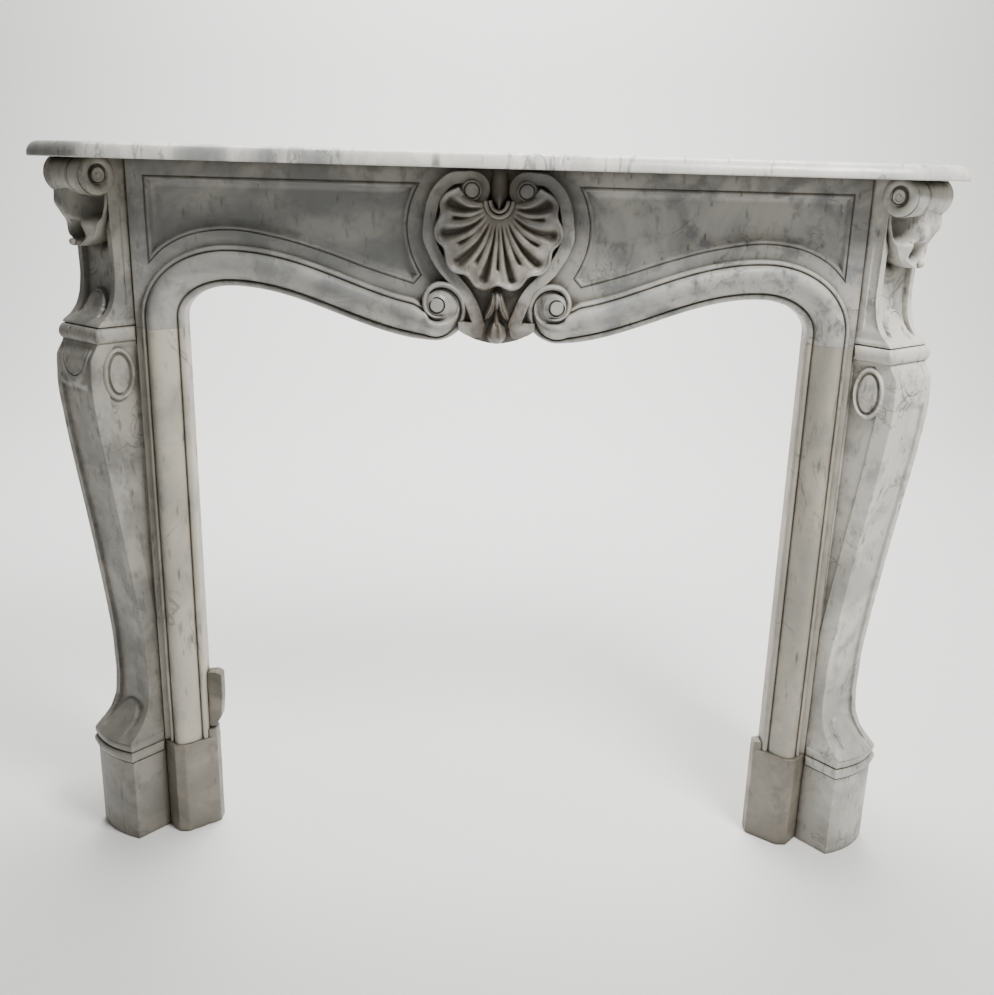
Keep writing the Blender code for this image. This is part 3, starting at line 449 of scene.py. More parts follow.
def block_rings(plan, bottom, top, wear, seed):
    """A worn block: its plan drawn in at both ends by an eased edge and by random chips."""
    plan = dense(rounded_plan(plan, 0.0022), 0.004)
    middle = plan.mean(0)
    away = plan - middle
    away /= np.hypot(*away.T)[:, None]
    up = np.concatenate([bottom + np.array([0, 0.0006, 0.0018, 0.004, 0.008]),
                         np.linspace(bottom + 0.014, top - 0.014, 26),
                         top - np.array([0.009, 0.006, 0.0035, 0.0018, 0.0007, 0])])[:, None]
    ends = np.minimum(up - bottom, top - up)
    eased = 0.0018 * (1 - np.clip(ends / 0.0018, 0, 1)) ** 2
    along = np.arange(len(plan))[None, :] * 0.004
    chips = wear * np.clip(waver(along, up, 0.012, seed) - 0.25, 0, 1) * np.exp(-ends / 0.006)
    uneven = 0.0003 * waver(along, up, 0.03, seed + 1)
    inset = eased + chips + np.abs(uneven)
    return place(plan[:, 0] - away[:, 0] * inset, plan[:, 1] - away[:, 1] * inset, up)


def plinth_plan():
    """The right plinth's plan: joint, nose, slanting face, inner side, back."""
    outer, inner = CONSOLE_JOINT - GAP, OPENING_HALF - OVERHANG
    nose = CONSOLE_JOINT - NOSE_OUT
    return [(outer, 0.0), (nose, PLINTH_NOSE), (nose - NOSE_WIDTH, PLINTH_NOSE), (inner, -OVERHANG),
            (inner, -SLIP_THICKNESS), (outer, -SLIP_THICKNESS)]


def lug_plan():
    """The stub of broken slab at the plinth's inner corner."""
    outer, inner = OPENING_HALF - GAP, OPENING_HALF - OVERHANG
    return [(outer, -OVERHANG + 0.006), (inner + 0.0006, -OVERHANG),
            (inner + 0.0006, -SLIP_THICKNESS + 0.0006), (outer, -SLIP_THICKNESS + 0.0006)]


def broken_rings(plan, bottom, top, slope, seed):
    """A stub whose top is broken: the block's rings with the top sunk by slope and noise."""
    rings = block_rings(plan, bottom, top, 0.0012, seed)
    high = rise(rings[..., 2], bottom + 0.5 * (top - bottom), top)
    across = (rings[..., 0] - rings[..., 0].min()) / np.ptp(rings[..., 0])
    ragged = 0.4 + 0.6 * waver(rings[..., 0], rings[..., 1], 0.006, seed)
    rings[..., 2] -= high * np.clip(slope * (1 - across) * 0.5 + 0.0022 * ragged, 0, None)
    return rings


for side, hand in (("left", -1), ("right", 1)):
    block = skin(block_rings(plinth_plan(), 0.0, PLINTH_HEIGHT, 0.0026, 11 + hand), hand)
    lug = skin(broken_rings(lug_plan(), PLINTH_HEIGHT * 0.6, LUG_TOP, 0.006 * (hand > 0), 21 + hand), hand)
    block = fuse(f"{side}_plinth_block", block, [lug])
    finish_piece(block, f"{side}_plinth_block", f"{side}_plinth", block_stone)


def remnant_rings():
    """The broken slab: rings from back to front around its outline, the front arris eased."""
    left, right = -remnant_low[0], -remnant_high[0]
    foot, top = remnant_low[2], remnant_high[2]
    corners = [(left, foot), (OPENING_HALF - OVERHANG + 0.003, foot), (right + 0.003, foot + 0.020),
               (right, foot + 0.050), (right, top - 0.005), (right + 0.007, top), (left, top - 0.001)]
    outline = dense(rounded_plan(corners, 0.0035), 0.003)
    middle = np.array([(left + right) / 2, (foot + top) / 2])
    depth = np.concatenate([[0.0, 0.0006, 0.0016, 0.0035], np.linspace(0.007, 0.0205, 8)])
    ease = 0.0016 * (1 - np.clip(depth / 0.0035, 0, 1)) ** 2
    out = outline - middle
    out /= np.hypot(*out.T)[:, None]
    along = np.arange(len(outline)) * 0.003
    inset = ease[:, None] + 0.0004 * (1 + waver(along, depth[:, None], 0.007, 5))
    front = FRONT_Y - remnant_low[1]
    return place(outline[:, 0] - out[:, 0] * inset, front - depth[:, None] * 0.98,
                 outline[:, 1] - out[:, 1] * inset)


remnant = skin(remnant_rings(), -1)
finish_piece(remnant, "left_broken_slab", "left_slab_remnant", block_stone, 60)

# %% [markdown]
# The side returns are plain slabs that run back to the wall.  They are sawn and rubbed,
# with only their arrises eased.

# %% Side returns
def return_rings():
    """A slab: its plan with rounded corners, stacked with a slow waver of its faces."""
    inner, outer = return_low[0], return_high[0]
    front, back = FRONT_Y - return_low[1], WALL
    plan = dense(rounded_plan([(inner, front), (outer, front), (outer, back), (inner, back)], 0.0012), 0.02)
    up = np.linspace(return_low[2], return_high[2], 60)[:, None]
    uneven = 1 - 0.0004 * (1 + waver(up, plan[:, 1], 0.2, 8))
    middle = plan.mean(0)[0]
    return place(middle + (plan[:, 0] - middle) * uneven, plan[:, 1], up)


for side, hand, finish in (("left", -1, left_stone), ("right", 1, right_stone)):
    slab = skin(return_rings(), hand)
    finish_piece(slab, f"{side}_return_slab", f"{side}_return", finish)

# %% [markdown]
# The shelf is a thin slab.  Its edge is a fine square lip below and a full round above,
# which runs in at the canted corners and steps forward at the middle.

# %% Shelf
EDGE_INSET, EDGE_LIP = 0.019, 0.003


def shelf_plan():
    """The shelf's plan, right half: side, canted corner, front, the break forward."""
    corner = [(SHELF_HALF, -0.03), (SHELF_HALF - 0.002, 0.0), (SHELF_HALF - 0.018, 0.022),
              (CANT_START + 0.020, SHELF_REACH - 0.016), (CANT_START + 0.002, SHELF_REACH - 0.004),
              (CANT_START - 0.025, SHELF_REACH)]
    curve = through(corner, 8)
    side = np.stack([np.full(12, SHELF_HALF), np.linspace(WALL, -0.035, 12)], 1)
    front = np.stack([np.linspace(CANT_START - 0.035, BREAK_HALF_WIDTH + BREAK_EASE + 0.006, 70),
                      np.full(70, SHELF_REACH)], 1)
    step = np.linspace(BREAK_HALF_WIDTH + BREAK_EASE, BREAK_HALF_WIDTH, 9)
    lift = SHELF_REACH + SHELF_BREAK * rise(-step, -(BREAK_HALF_WIDTH + BREAK_EASE), -BREAK_HALF_WIDTH)
    middle = np.linspace(BREAK_HALF_WIDTH - 0.005, 0.004, 12)
    half = np.vstack([side, curve, front, np.stack([step, lift], 1),
                      np.stack([middle, np.full(12, SHELF_REACH + SHELF_BREAK)], 1)])
    return np.vstack([half, half[::-1] * (-1, 1)])


def inward(path):
    """Unit vectors to the left of an open path, averaged at each point."""
    along = np.gradient(path, axis=0)
    along /= np.hypot(*along.T)[:, None]
    return np.stack([-along[:, 1], along[:, 0]], 1)


def shelf_rings():
    """Lip, round and flat top: inset = EDGE_INSET (1 - cos a), rise = lip + rest sin a."""
    plan = shelf_plan()
    left = inward(np.minimum(plan, [9.0, SHELF_REACH]))
    left[0], left[-1] = (-1, 0), (1, 0)
    a = np.concatenate([[0, 0, 0, 0.0], np.linspace(0.06, 1, 18) * pi / 2])
    inset = EDGE_INSET * (1 - np.cos(a))
    inset[:3] = 0.0012, 0.0003, 0.0
    height = EDGE_LIP + (SHELF_TOP - UNDERSIDE - EDGE_LIP) * np.sin(a)
    height[:4] = 0.0, 0.0008, 0.0018, EDGE_LIP
    inset = np.append(inset, EDGE_INSET + np.array([0.0015, 0.006]))
    height = np.append(height, [height[-1], height[-1]])
    points = plan[None] + left[None] * inset[:, None, None]
    uneven = 0.0004 * waver(plan[None, :, 0], height[:, None] * 3, 0.03, 2) * (plan[None, :, 1] > -0.05)
    forward = np.maximum(points[..., 1] + np.minimum(uneven, 0), WALL)
    return place(points[..., 0], forward, UNDERSIDE + height[:, None])


shelf = skin(shelf_rings())
finish_piece(shelf, "mantelshelf", "shelf", shelf_stone)

# %% [markdown]
# The frieze starts as one slab.  The arch moulding is the jamb's section carried along
# the opening's edge: up the jamb, round a quarter ellipse to the crown, and down half a
# cosine wave to the dip.  There it rolls in on itself as a volute that rises towards
# its eye.

# %% Arch moulding
def sweep(x, z, inwards, width, share, forward):
    """Carry a section along a path: point = path + inwards * share * width, forward as given."""
    reach = share * width[:, None]
    return place(x[:, None] + inwards[:, :1] * reach, forward, z[:, None] + inwards[:, 1:] * reach)


def arch_path():
    """The opening's edge, right half, with the direction into the stone at each point."""
    jamb = np.stack([np.full(5, OPENING_HALF), np.linspace(SPRING_HEIGHT, CORNER_START, 5)], 1)
    t = np.linspace(0, pi / 2, 34)[1:]
    corner = np.stack([CROWN_ACROSS + (OPENING_HALF - CROWN_ACROSS) * np.cos(t),
                       CORNER_START + (CROWN_HEIGHT - CORNER_START) * np.sin(t)], 1)
    t = np.linspace(0, 1, 90)[1:]
    wave = np.stack([CROWN_ACROSS + (DIP_ACROSS - CROWN_ACROSS) * t,
                     CROWN_HEIGHT + (DIP_HEIGHT - CROWN_HEIGHT) * (1 - np.cos(pi * t)) / 2], 1)
    path = np.vstack([jamb, corner, wave])
    inwards = -inward(path)
    inwards[0] = (1, 0)
    return path, inwards


section_share = (SLIP_WIDTH - moulding[::-1, 0]) / BAND_WIDTH
section_forward = moulding[::-1, 1]
print("arch points", len(arch_path()[0]))


def close_behind(rings, back):
    """Add two points to each ring straight behind its first and last, at the back plane."""
    first, last = rings[:, :1].copy(), rings[:, -1:].copy()
    first[..., 1] = last[..., 1] = FRONT_Y + back
    return np.concatenate([rings, last, first], axis=1)


BAND_UNDER = 0.0523


def band_rings():
    """The moulding along the arch; it narrows and lifts where it passes under the volute."""
    path, inwards = arch_path()
    near = rise(-path[:, 0], -0.20, -DIP_ACROSS)
    off, core = path[:, 0] - DIP_ACROSS, CORE_RADIUS - 0.0012
    slim = VOLUTE_HEIGHT - np.sqrt(np.clip(core ** 2 - off ** 2, 0, None)) - path[:, 1]
    beside = BAND_UNDER + (BAND_WIDTH - BAND_UNDER) * rise(off, core, core + 0.030)
    width = np.where(off < core, np.minimum(slim, BAND_UNDER), beside)
    lift = 0.4 * VOLUTE_LIFT * near
    uneven = 0.0003 * waver(path[:, :1], section_share[None] * 0.06, 0.03, 6)
    forward = section_forward[None] + lift[:, None] + uneven
    return close_behind(sweep(path[:, 0], path[:, 1], inwards, width, section_share, forward), SLIP_THICKNESS)


RIM_RADIUS = [(-0.3, 0.0555), (0.0, 0.0540), (pi / 2, 0.0432), (pi, 0.0325), (1.5 * pi, 0.0212),
              (2 * pi, 0.0189), (7.2, 0.0186)]
RIM_THICK = [(-0.3, 0.0100), (pi / 2, 0.0095), (pi, 0.0086), (1.5 * pi, 0.0074), (2 * pi, 0.0044),
             (6.9, 0.0010), (7.2, 0.0002)]
EYE_RADIUS = 0.0096


def volute_height(turn, radius, lift):
    """Height of the volute: a half-round rim along a spiral, a thin groove, and a dish.

    turn is 0 under the eye and grows through the cartouche's side; the dish rises from
    the lift at the groove to the full lift at the core, as the square of its share.
    """
    edge, thick = read_knots(RIM_RADIUS, turn), read_knots(RIM_THICK, turn)
    inside = edge - radius
    share = np.clip((inside - thick) / np.maximum(edge - thick - CORE_RADIUS, 0.001), 0, 1)
    face = (lift - 0.0035) * (1 - share ** 2) + (VOLUTE_LIFT - 0.0010) * share ** 2
    bow = np.sqrt(np.clip(1 - (2 * inside / thick - 1) ** 2, 0, 1))
    rim = lift - 0.0040 + 0.0078 * bow ** 0.8
    groove = 0.0024 * hump(inside, thick + 0.0006, 0.0013) * rise(thick, 0.0010, 0.0040)
    return np.where(inside < thick, np.maximum(rim, face - 0.003), face) - groove


def volute_rings():
    """The moulding rolls in: its swelling face flattens into the dish behind the rim."""
    turn = np.linspace(-0.06, 6.9, 190)[:, None]
    edge = read_knots(RIM_RADIUS, turn)
    inner = CORE_RADIUS - 0.0012
    mix = rise(turn, -0.08, 0.8 + 1.9 * (1 - section_share[None]))
    even = np.linspace(0, 1, len(section_share))[None]
    blend_in = rise(turn, 0.0, 1.2)
    share = section_share[None] * (1 - blend_in) + even * blend_in
    lift = VOLUTE_LIFT * (0.4 + 0.6 * rise(turn, 0.0, 1.5 * pi))
    radius = edge - (edge - inner) * share
    forward = (section_forward[None] + lift) * (1 - mix) + volute_height(turn, radius, lift) * mix
    forward = forward - 0.0003 * rise(-radius, -CORE_RADIUS - 0.0003, -CORE_RADIUS)
    x, z = DIP_ACROSS - np.sin(turn) * radius, VOLUTE_HEIGHT - np.cos(turn) * radius
    return close_behind(place(x, forward, z), SLIP_THICKNESS - 0.004)


def core_rings():
    """The middle of the volute: the rim's last turn, the dish, a ring groove and the eye."""
    radius = np.concatenate([[CORE_RADIUS] * 2, np.linspace(CORE_RADIUS - 0.0002, 0.0005, 60)])[:, None]
    a = np.linspace(0.6, 0.6 + 2 * pi, 96, endpoint=False)[None]
    dish = 0.0042 * rise(-radius, -CORE_RADIUS, -EYE_RADIUS - 0.0004)
    arm = volute_height(a, radius, VOLUTE_LIFT)
    forward = np.where(read_knots(RIM_RADIUS, a) - radius < read_knots(RIM_THICK, a) + 0.002,
                       np.maximum(arm, VOLUTE_LIFT - 0.0010 + dish), VOLUTE_LIFT - 0.0010 + dish)
    shut = 1 - 0.75 * hump(a, 1.25 * pi, 0.9)
    groove = 0.0034 * shut * hump(radius, EYE_RADIUS + 0.0012, 0.0015)
    button = 0.0024 * rise(-radius, -EYE_RADIUS - 0.0003, -EYE_RADIUS + 0.0012)
    forward = forward - groove + button
    forward[0] = -0.01
    return place(DIP_ACROSS - np.sin(a) * radius, forward, VOLUTE_HEIGHT - np.cos(a) * radius)


def turned(across, up, line, steps=64):
    """A turned button on the frieze: (radius, forward) pairs from the ground to the middle."""
    line = np.array(line)
    a = np.arange(steps) * 2 * pi / steps
    return place(across + line[:, :1] * np.cos(a), line[:, 1:], up + line[:, :1] * np.sin(a))


# %% [markdown]
# The cartouche is a pair of C-scrolls around a scallop shell.  The ribbon of a scroll is
# flat with eased arrises.  Its lower end is a round hook, and at the top it narrows and
# coils into an eye, which is a turned button.

# %% C-scrolls and eyes
SCROLL_EDGE = [(0.0312, 0.8400), (0.0345, 0.8510), (0.0385, 0.8620), (0.0533, 0.8938), (0.0850, 0.9290),
               (0.1035, 0.9620), (0.1078, 0.9870), (0.0985, 1.0340), (0.0730, 1.0625), (0.0440, 1.0680)]
SCROLL_EYE = (0.0387, 1.0408)
COIL_RADIUS = [(1.2, 0.0278), (pi / 2, 0.0272), (pi, 0.0255), (1.5 * pi, 0.0204), (2 * pi, 0.0163),
               (2.5 * pi, 0.0142), (15.0, 0.0138)]
SCROLL_RIBBON, SCROLL_HIGH, HOOK_POINTS = 0.0180, 0.016, 9
RIBBON_SHARE = np.array([0, 0, 0.02, 0.06, 0.12, 0.3, 0.5, 0.7, 0.88, 0.94, 0.98, 1, 1])
RIBBON_HEIGHT = np.array([-0.006, -0.0020, -0.0007, -0.0001, 0, -0.0006, -0.0010, -0.0013, -0.0012, -0.0012,
                          -0.0018, -0.0030, -0.006])


def scroll_rings():
    """The ribbon along the scroll's outer edge, then round into its eye."""
    edge = through(SCROLL_EDGE, 10)
    inwards = inward(edge)
    first = np.arctan2(SCROLL_EDGE[-1][1] - SCROLL_EYE[1], SCROLL_EDGE[-1][0] - SCROLL_EYE[0])
    turn = np.linspace(first, radians(450), 90)[1:]
    radius = read_knots(COIL_RADIUS, turn)
    coil_in = -np.stack([np.cos(turn), np.sin(turn)], 1)
    coil = np.array(SCROLL_EYE) - coil_in * radius[:, None]
    inner = np.maximum(read_knots(COIL_RADIUS, turn + 2 * pi) - 0.0005, 0.0125)
    hook = np.sqrt(np.clip(1 - (1 - np.arange(len(edge)) / HOOK_POINTS) ** 2, 0.04, 1))
    hook[HOOK_POINTS:] = 1
    width = np.concatenate([SCROLL_RIBBON * hook, SCROLL_RIBBON + (radius - inner - SCROLL_RIBBON)
                            * rise(turn, first, first + 0.9)])
    sunk = -0.0048 * (1 - rise(np.arange(len(edge)), 16, 42))
    lift = np.concatenate([sunk, 0.0012 * rise(turn, first, radians(450))])
    path, inwards = np.vstack([edge, coil]), np.vstack([inwards, coil_in])
    forward = SCROLL_HIGH + RIBBON_HEIGHT + lift[:, None]
    forward[:, [0, -1]] = -0.006
    return sweep(path[:, 0], path[:, 1], inwards, width, RIBBON_SHARE, forward)


COIL_EYE = [(0.0150, -0.01), (0.0150, 0.0150), (0.0146, 0.0166), (0.0138, 0.0176), (0.0128, 0.0184),
            (0.0119, 0.0184), (0.0112, 0.0176), (0.0107, 0.0162), (0.0102, 0.0162), (0.0098, 0.0182),
            (0.0090, 0.0194), (0.0045, 0.0198), (0.0012, 0.0199)]

# %% [markdown]
# The shell is one surface of two parameters: k counts the lobes from the middle, and out
# goes from the hinge to the rim.  All lines leave the hinge steeply and bend outwards.  A
# long scoop at each half k deepens towards the rim, and a shorter groove lies at each whole
# k.  Between them stand rounded ribs, and the rim turns up into a lip.

# %% Scallop shell
SHELL_HINGE, SHELL_RADIUS, SHELL_END, SHELL_LOBES, SHELL_HIGH = 1.0180, 0.1140, 0.0680, 4, 0.030
HINGE_CENTRE, LOBE_STEP, LOBE_GROWTH = 1.0290, 24.5, 1.1


def shell_surface(k, out):
    """Point of the shell at rib number k, a share out of the way to the rim.

    angle = 24.5|k| + 1.1k^2 degrees at the rim; a line of equal k is a curve with one
    control point that leaves the hinge's U steeply and bends outwards; radius falls with
    the angle and is drawn in 8.5% at each whole k; forward = dome + two ridges to each k
    - a long scoop at each half k - a shorter one at each whole k + lip.
    """
    angle = np.radians(LOBE_STEP * np.abs(k) + LOBE_GROWTH * k * k) * np.sign(k)
    end = radians(LOBE_STEP * SHELL_LOBES + LOBE_GROWTH * SHELL_LOBES ** 2)
    radius = SHELL_RADIUS - (SHELL_RADIUS - SHELL_END) * (np.abs(angle) / end) ** 1.8
    radius = radius * (1.03 - 0.085 * (0.5 + 0.5 * np.cos(2 * pi * k)) ** 1.3)
    from_hinge = np.radians(20.5 * k)
    steep = from_hinge * (0.25 + 0.65 * np.abs(k) / SHELL_LOBES)
    start_x, start_z = 0.0195 * np.sin(from_hinge), HINGE_CENTRE - 0.0240 * np.cos(from_hinge)
    end_x, end_z = radius * np.sin(angle), SHELL_HINGE - radius * np.cos(angle)
    reach = 0.50 * np.hypot(end_x - start_x, end_z - start_z)
    turn_x, turn_z = start_x + reach * np.sin(steep), start_z - reach * np.cos(steep)
    x = ((1 - out) ** 2 * start_x + 2 * out * (1 - out) * turn_x + out ** 2 * end_x)
    z = ((1 - out) ** 2 * start_z + 2 * out * (1 - out) * turn_z + out ** 2 * end_z)
    dome = SHELL_HIGH * (0.62 + 0.60 * out - 0.50 * out * out)
    whole = np.abs(k - np.round(k))
    half = 0.5 - whole
    ridges = -0.0012 * np.cos(4 * pi * k) * rise(out, 0.05, 0.30) * (1 - rise(out, 0.74, 0.92))
    wide = 0.10 + 0.13 * rise(out, 0.25, 0.88) + 0.025 * np.abs(k)
    scoop = (0.0018 + 0.0105 * rise(out, 0.10, 0.85)) * hump(half, 0, wide)
    scoop = scoop * rise(out, 0.08, 0.2) * (1 - rise(out, 0.84, 0.93))
    narrow = 0.045 + 0.065 * rise(out, 0.30, 0.72)
    short = (0.0009 + 0.0048 * rise(out, 0.40, 0.72)) * hump(whole, 0, narrow)
    short = short * rise(out, 0.10, 0.25) * (1 - rise(out, 0.72, 0.81))
    wave = 0.0026 * np.cos(2 * pi * k) * rise(out, 0.78, 0.98)
    before_lip = 0.0022 * hump(out, 0.90, 0.08) * (0.35 + 0.65 * hump(half, 0, 0.42))
    lip = 0.0026 * hump(out, 0.972, 0.036) - before_lip
    lip = lip - 0.0030 * rise(out, 0.975, 1.0) ** 2
    return x, dome + ridges - scoop - short + wave + lip, z


def shell_rings():
    """A ring for each k: over the face from the hinge to the rim, then back inside the slab."""
    k = np.arange(-SHELL_LOBES * 30, SHELL_LOBES * 30 + 1)[:, None] / 30
    out = np.concatenate([np.linspace(0.0, 0.70, 26), np.linspace(0.72, 1.0, 26)])[None, :]
    x, forward, z = shell_surface(k, out)
    tip_x, tip_f, tip_z = x[:, -1:], forward[:, -1:], z[:, -1:]
    for share, drop in ((0.992, -0.0022), (0.975, -0.0048), (0.93, -0.0070)):
        x = np.hstack([x, tip_x * share])
        z = np.hstack([z, SHELL_HINGE + (tip_z - SHELL_HINGE) * share])
        forward = np.hstack([forward, tip_f + drop])
    x = np.hstack([x, tip_x * 0.90, x[:, :1]])
    z = np.hstack([z, SHELL_HINGE + (tip_z - SHELL_HINGE) * 0.90, z[:, :1]])
    forward = np.hstack([forward, np.full_like(tip_f, -0.008), np.full_like(tip_f, -0.008)])
    return place(x, forward, z)


def hinge_rings(half, deep, forward, ridge):
    """A round-topped ridge hung as a U between the two upper eyes."""
    a = np.linspace(radians(-176), radians(-4), 48)[:, None]
    b = np.linspace(0, pi, 11)
    across = np.concatenate([[-0.5], -0.5 * np.cos(b), [0.5]]) * ridge
    high = np.concatenate([[-0.008], forward - 0.0030 + 0.0030 * np.sin(b), [-0.008]])
    return place((half + across) * np.cos(a), high[None], HINGE_CENTRE + (deep + across) * np.sin(a))


# %% [markdown]
# Under the shell hangs a bellflower husk: a calyx, two petals whose tips turn out, a stalk,
# and a three-lobed bulb that closes the frieze's lower edge.  A blunt tongue stands between
# the upper eyes.  All are half-round stems carried down a line of widths and heights.

# %% Husk and tongue
def stem_rings(rows, steps, lobes=0.0, count=3, flat=0.012):
    """Half-round stem along smooth (up, half width, forward) rows, with cosine lobes on it.

    across = half cos a, forward = high (sin a)^0.8.
    """
    line = np.maximum(through(rows, steps), [-9, 0.0008, 0.001])
    a = np.linspace(0, pi, 33)
    up, half, high = line[:, :1], line[:, 1:2], line[:, 2:3]
    wave = 1 + lobes * (np.cos(a * count * 2) - 0.4)
    across = half * np.cos(a) * (1 + 0.4 * (wave - 1))
    forward = np.maximum(high * np.sin(a) ** 0.8 * wave, 0.0)
    across = np.hstack([across, across[:, -1:], across[:, :1]])
    forward = np.hstack([forward, np.full((len(line), 2), -flat)])
    return place(across, forward, up)


CALYX = [(0.9060, 0.0022, 0.010), (0.9020, 0.0058, 0.015), (0.8950, 0.0088, 0.0190), (0.8880, 0.0096, 0.0200),
         (0.8810, 0.0088, 0.0185), (0.8760, 0.0060, 0.0140)]
PETAL = [(0.0040, 0.9000, 0.0045, 0.0160), (0.0052, 0.8880, 0.0052, 0.0205), (0.0080, 0.8770, 0.0056, 0.0215),
         (0.0122, 0.8680, 0.0054, 0.0190), (0.0165, 0.8605, 0.0018, 0.0110)]
STALK = [(0.8860, 0.0042, 0.0110), (0.8740, 0.0044, 0.0130), (0.8620, 0.0048, 0.0150),
         (0.8540, 0.0062, 0.0160)]
BULB = [(0.8600, 0.0050, 0.012), (0.8530, 0.0098, 0.018), (0.8450, 0.0138, 0.0215), (0.8370, 0.0146, 0.0215),
        (0.8310, 0.0122, 0.017), (0.8262, 0.0070, 0.011)]
TONGUE = [(PIECE_TOP - 0.002, 0.0100, 0.0090), (1.0600, 0.0108, 0.0130), (1.0480, 0.0132, 0.0165),
          (1.0380, 0.0138, 0.0195), (1.0290, 0.0108, 0.0225), (1.0210, 0.0066, 0.0250),
          (1.0165, 0.0035, 0.0240)]


def petal_rings():
    """One turned-out petal: a half-round stem on a slanting line, with a crease down it."""
    line = through(PETAL, 10)
    normal = inward(line[:, :2])
    a = np.linspace(0, pi, 21)
    side = line[:, 2:3] * np.cos(a)
    high = line[:, 3:4] * np.sin(a) ** 0.7 - 0.0016 * hump(np.cos(a), 0, 0.3)[None]
    side = np.hstack([side, side[:, -1:], side[:, :1]])
    high = np.hstack([high, np.full((len(line), 2), -0.010)])
    return place(line[:, :1] + normal[:, :1] * side, high, line[:, 1:2] + normal[:, 1:] * side)


def scroll_foot_rings():
    """The small plate that a C-scroll ends in, its front arris eased."""
    outline = rounded_plan([(0.0205, 0.8560), (0.0185, 0.8440), (0.0225, 0.8345), (0.0330, 0.8330),
                            (0.0470, 0.8390), (0.0560, 0.8450), (0.0560, 0.8570)], 0.0015)
    middle = outline.mean(0)
    depth = np.array([-0.010, 0.0085, 0.0100, 0.0108, 0.0110])[:, None]
    shrink = np.array([1.0, 1.0, 0.985, 0.96, 0.93])[:, None]
    return place(middle[0] + (outline[None, :, 0] - middle[0]) * shrink, depth,
                 middle[1] + (outline[None, :, 1] - middle[1]) * shrink)


# %% [markdown]
# Each side of the frieze has a sunk panel.  It is cut out of the slab with a tool of
# stacked outlines: a quirk, a small roll, and a cove down to the field.  The panel's
# lower side follows the arch as an S, and its end is hollowed around the scrolls.

# %% Sunk panels
PANEL_TOP, PANEL_SIDE, PANEL_TIP, PANEL_CROWN = 1.0500, 0.5040, 0.9250, 0.9760
PANEL_FOOT, PANEL_HEEL, PANEL_HEAD, PANEL_HOLLOW = (0.1210, 0.9068), (0.1085, 0.9208), 0.1120, 0.1295
PANEL_ARCH = [(PANEL_SIDE, PANEL_TIP), (0.4760, 0.9510), (0.4340, 0.9700), (0.3780, PANEL_CROWN),
              (0.3120, 0.9658), (0.2480, 0.9480), (0.1850, 0.9262), PANEL_FOOT]


def offset_loop(loop, distance):
    """Move a closed loop inwards with mitred corners: each point goes along its bisector."""
    ahead = np.roll(loop, -1, 0) - loop
    left = np.stack([-ahead[:, 1], ahead[:, 0]], 1) / np.hypot(*ahead.T)[:, None]
    before = np.roll(left, 1, 0)
    mitre = (left + before) / (1 + (left * before).sum(1))[:, None]
    return loop + mitre * distance


def spaced(path, count):
    """The same path with evenly spaced points."""
    along = np.concatenate([[0], np.cumsum(np.hypot(*np.diff(path, axis=0).T))])
    at = np.linspace(0, along[-1], count)
    return np.stack([np.interp(at, along, path[:, 0]), np.interp(at, along, path[:, 1])], 1)


def panel_loop(inset):
    """The right panel moved in: S along the arch, hollow end, straight top and side."""
    arch = through(PANEL_ARCH, 12)
    t = np.linspace(-1, 1, 24)
    straight = PANEL_HEEL[0] + (PANEL_HEAD - PANEL_HEEL[0]) * (t + 1) / 2
    bulge = (PANEL_HOLLOW - (PANEL_HEAD + PANEL_HEEL[0]) / 2) * (1 - t * t)
    heights = (PANEL_TOP + PANEL_HEEL[1]) / 2 + (PANEL_TOP - PANEL_HEEL[1]) / 2 * t
    end = np.stack([straight + bulge, heights], 1)
    loop = np.vstack([arch, end, [(PANEL_SIDE, PANEL_TOP)]])
    moved = offset_loop(loop, -inset)
    low, side = len(arch), PANEL_SIDE - inset
    curve = moved[1:low][moved[1:low, 0] < side]
    slope = (curve[1, 1] - curve[0, 1]) / (curve[1, 0] - curve[0, 0])
    tip = np.array([[side, curve[0, 1] + slope * (side - curve[0, 0])]])
    return np.vstack([spaced(np.vstack([tip, curve]), 90), moved[low:]])


PANEL_STEPS = [(0.0, 0.02), (0.0, -0.0004), (0.0013, -0.0024), (0.0026, -0.0010), (0.0038, -0.0001),
               (0.0054, -0.0001), (0.0068, -0.0014), (0.0078, -0.0034), (0.0092, -0.0056), (0.0112, -0.0072),
               (0.0138, -0.0084), (0.0170, -0.0090)]


def panel_rings():
    """The space inside a panel, from in front of the slab down to the field."""
    loops = [(panel_loop(inset), forward) for inset, forward in PANEL_STEPS]
    return np.array([place(loop[:, 0], forward, loop[:, 1]) for loop, forward in loops])


DROP_EDGE = [(0.0850, 0.8540), (0.0535, 0.8440), (0.0460, 0.8385), (0.0380, 0.8335), (0.0300, 0.8302),
             (0.0220, 0.8280), (0.0110, 0.8256)]


def slab_rings():
    """The frieze slab: its lower edge hides inside the arch moulding and shows at the drop."""
    path, inwards = arch_path()
    edge = (path + inwards * 0.030)[::6]
    edge = edge[(edge[:, 0] > 0.11) & (edge[:, 1] > SPRING_HEIGHT + 0.001)]
    end, foot = CONSOLE_JOINT - GAP, SPRING_HEIGHT + 0.0002
    right = [(end, PIECE_TOP), (end, foot), (OPENING_HALF + 0.030, foot), *edge.tolist(), *DROP_EDGE]
    right = np.array(right)
    loop = np.vstack([right, [(0.0, CENTRE_DROP)], right[::-1] * (-1, 1)])
    return np.array([place(np.clip(loop[:, 0], -end + ease, end - ease), forward, loop[:, 1])
                     for ease, forward in ((0.0013, 0.0), (0.0, -0.0014), (0.0, -FRIEZE_THICKNESS))])


# %% [markdown]
# All of it was cut from one block, so the separate surfaces are fused with Boolean
# unions into one skin.  The fast solver for closed meshes is enough, because every tool
# is closed.

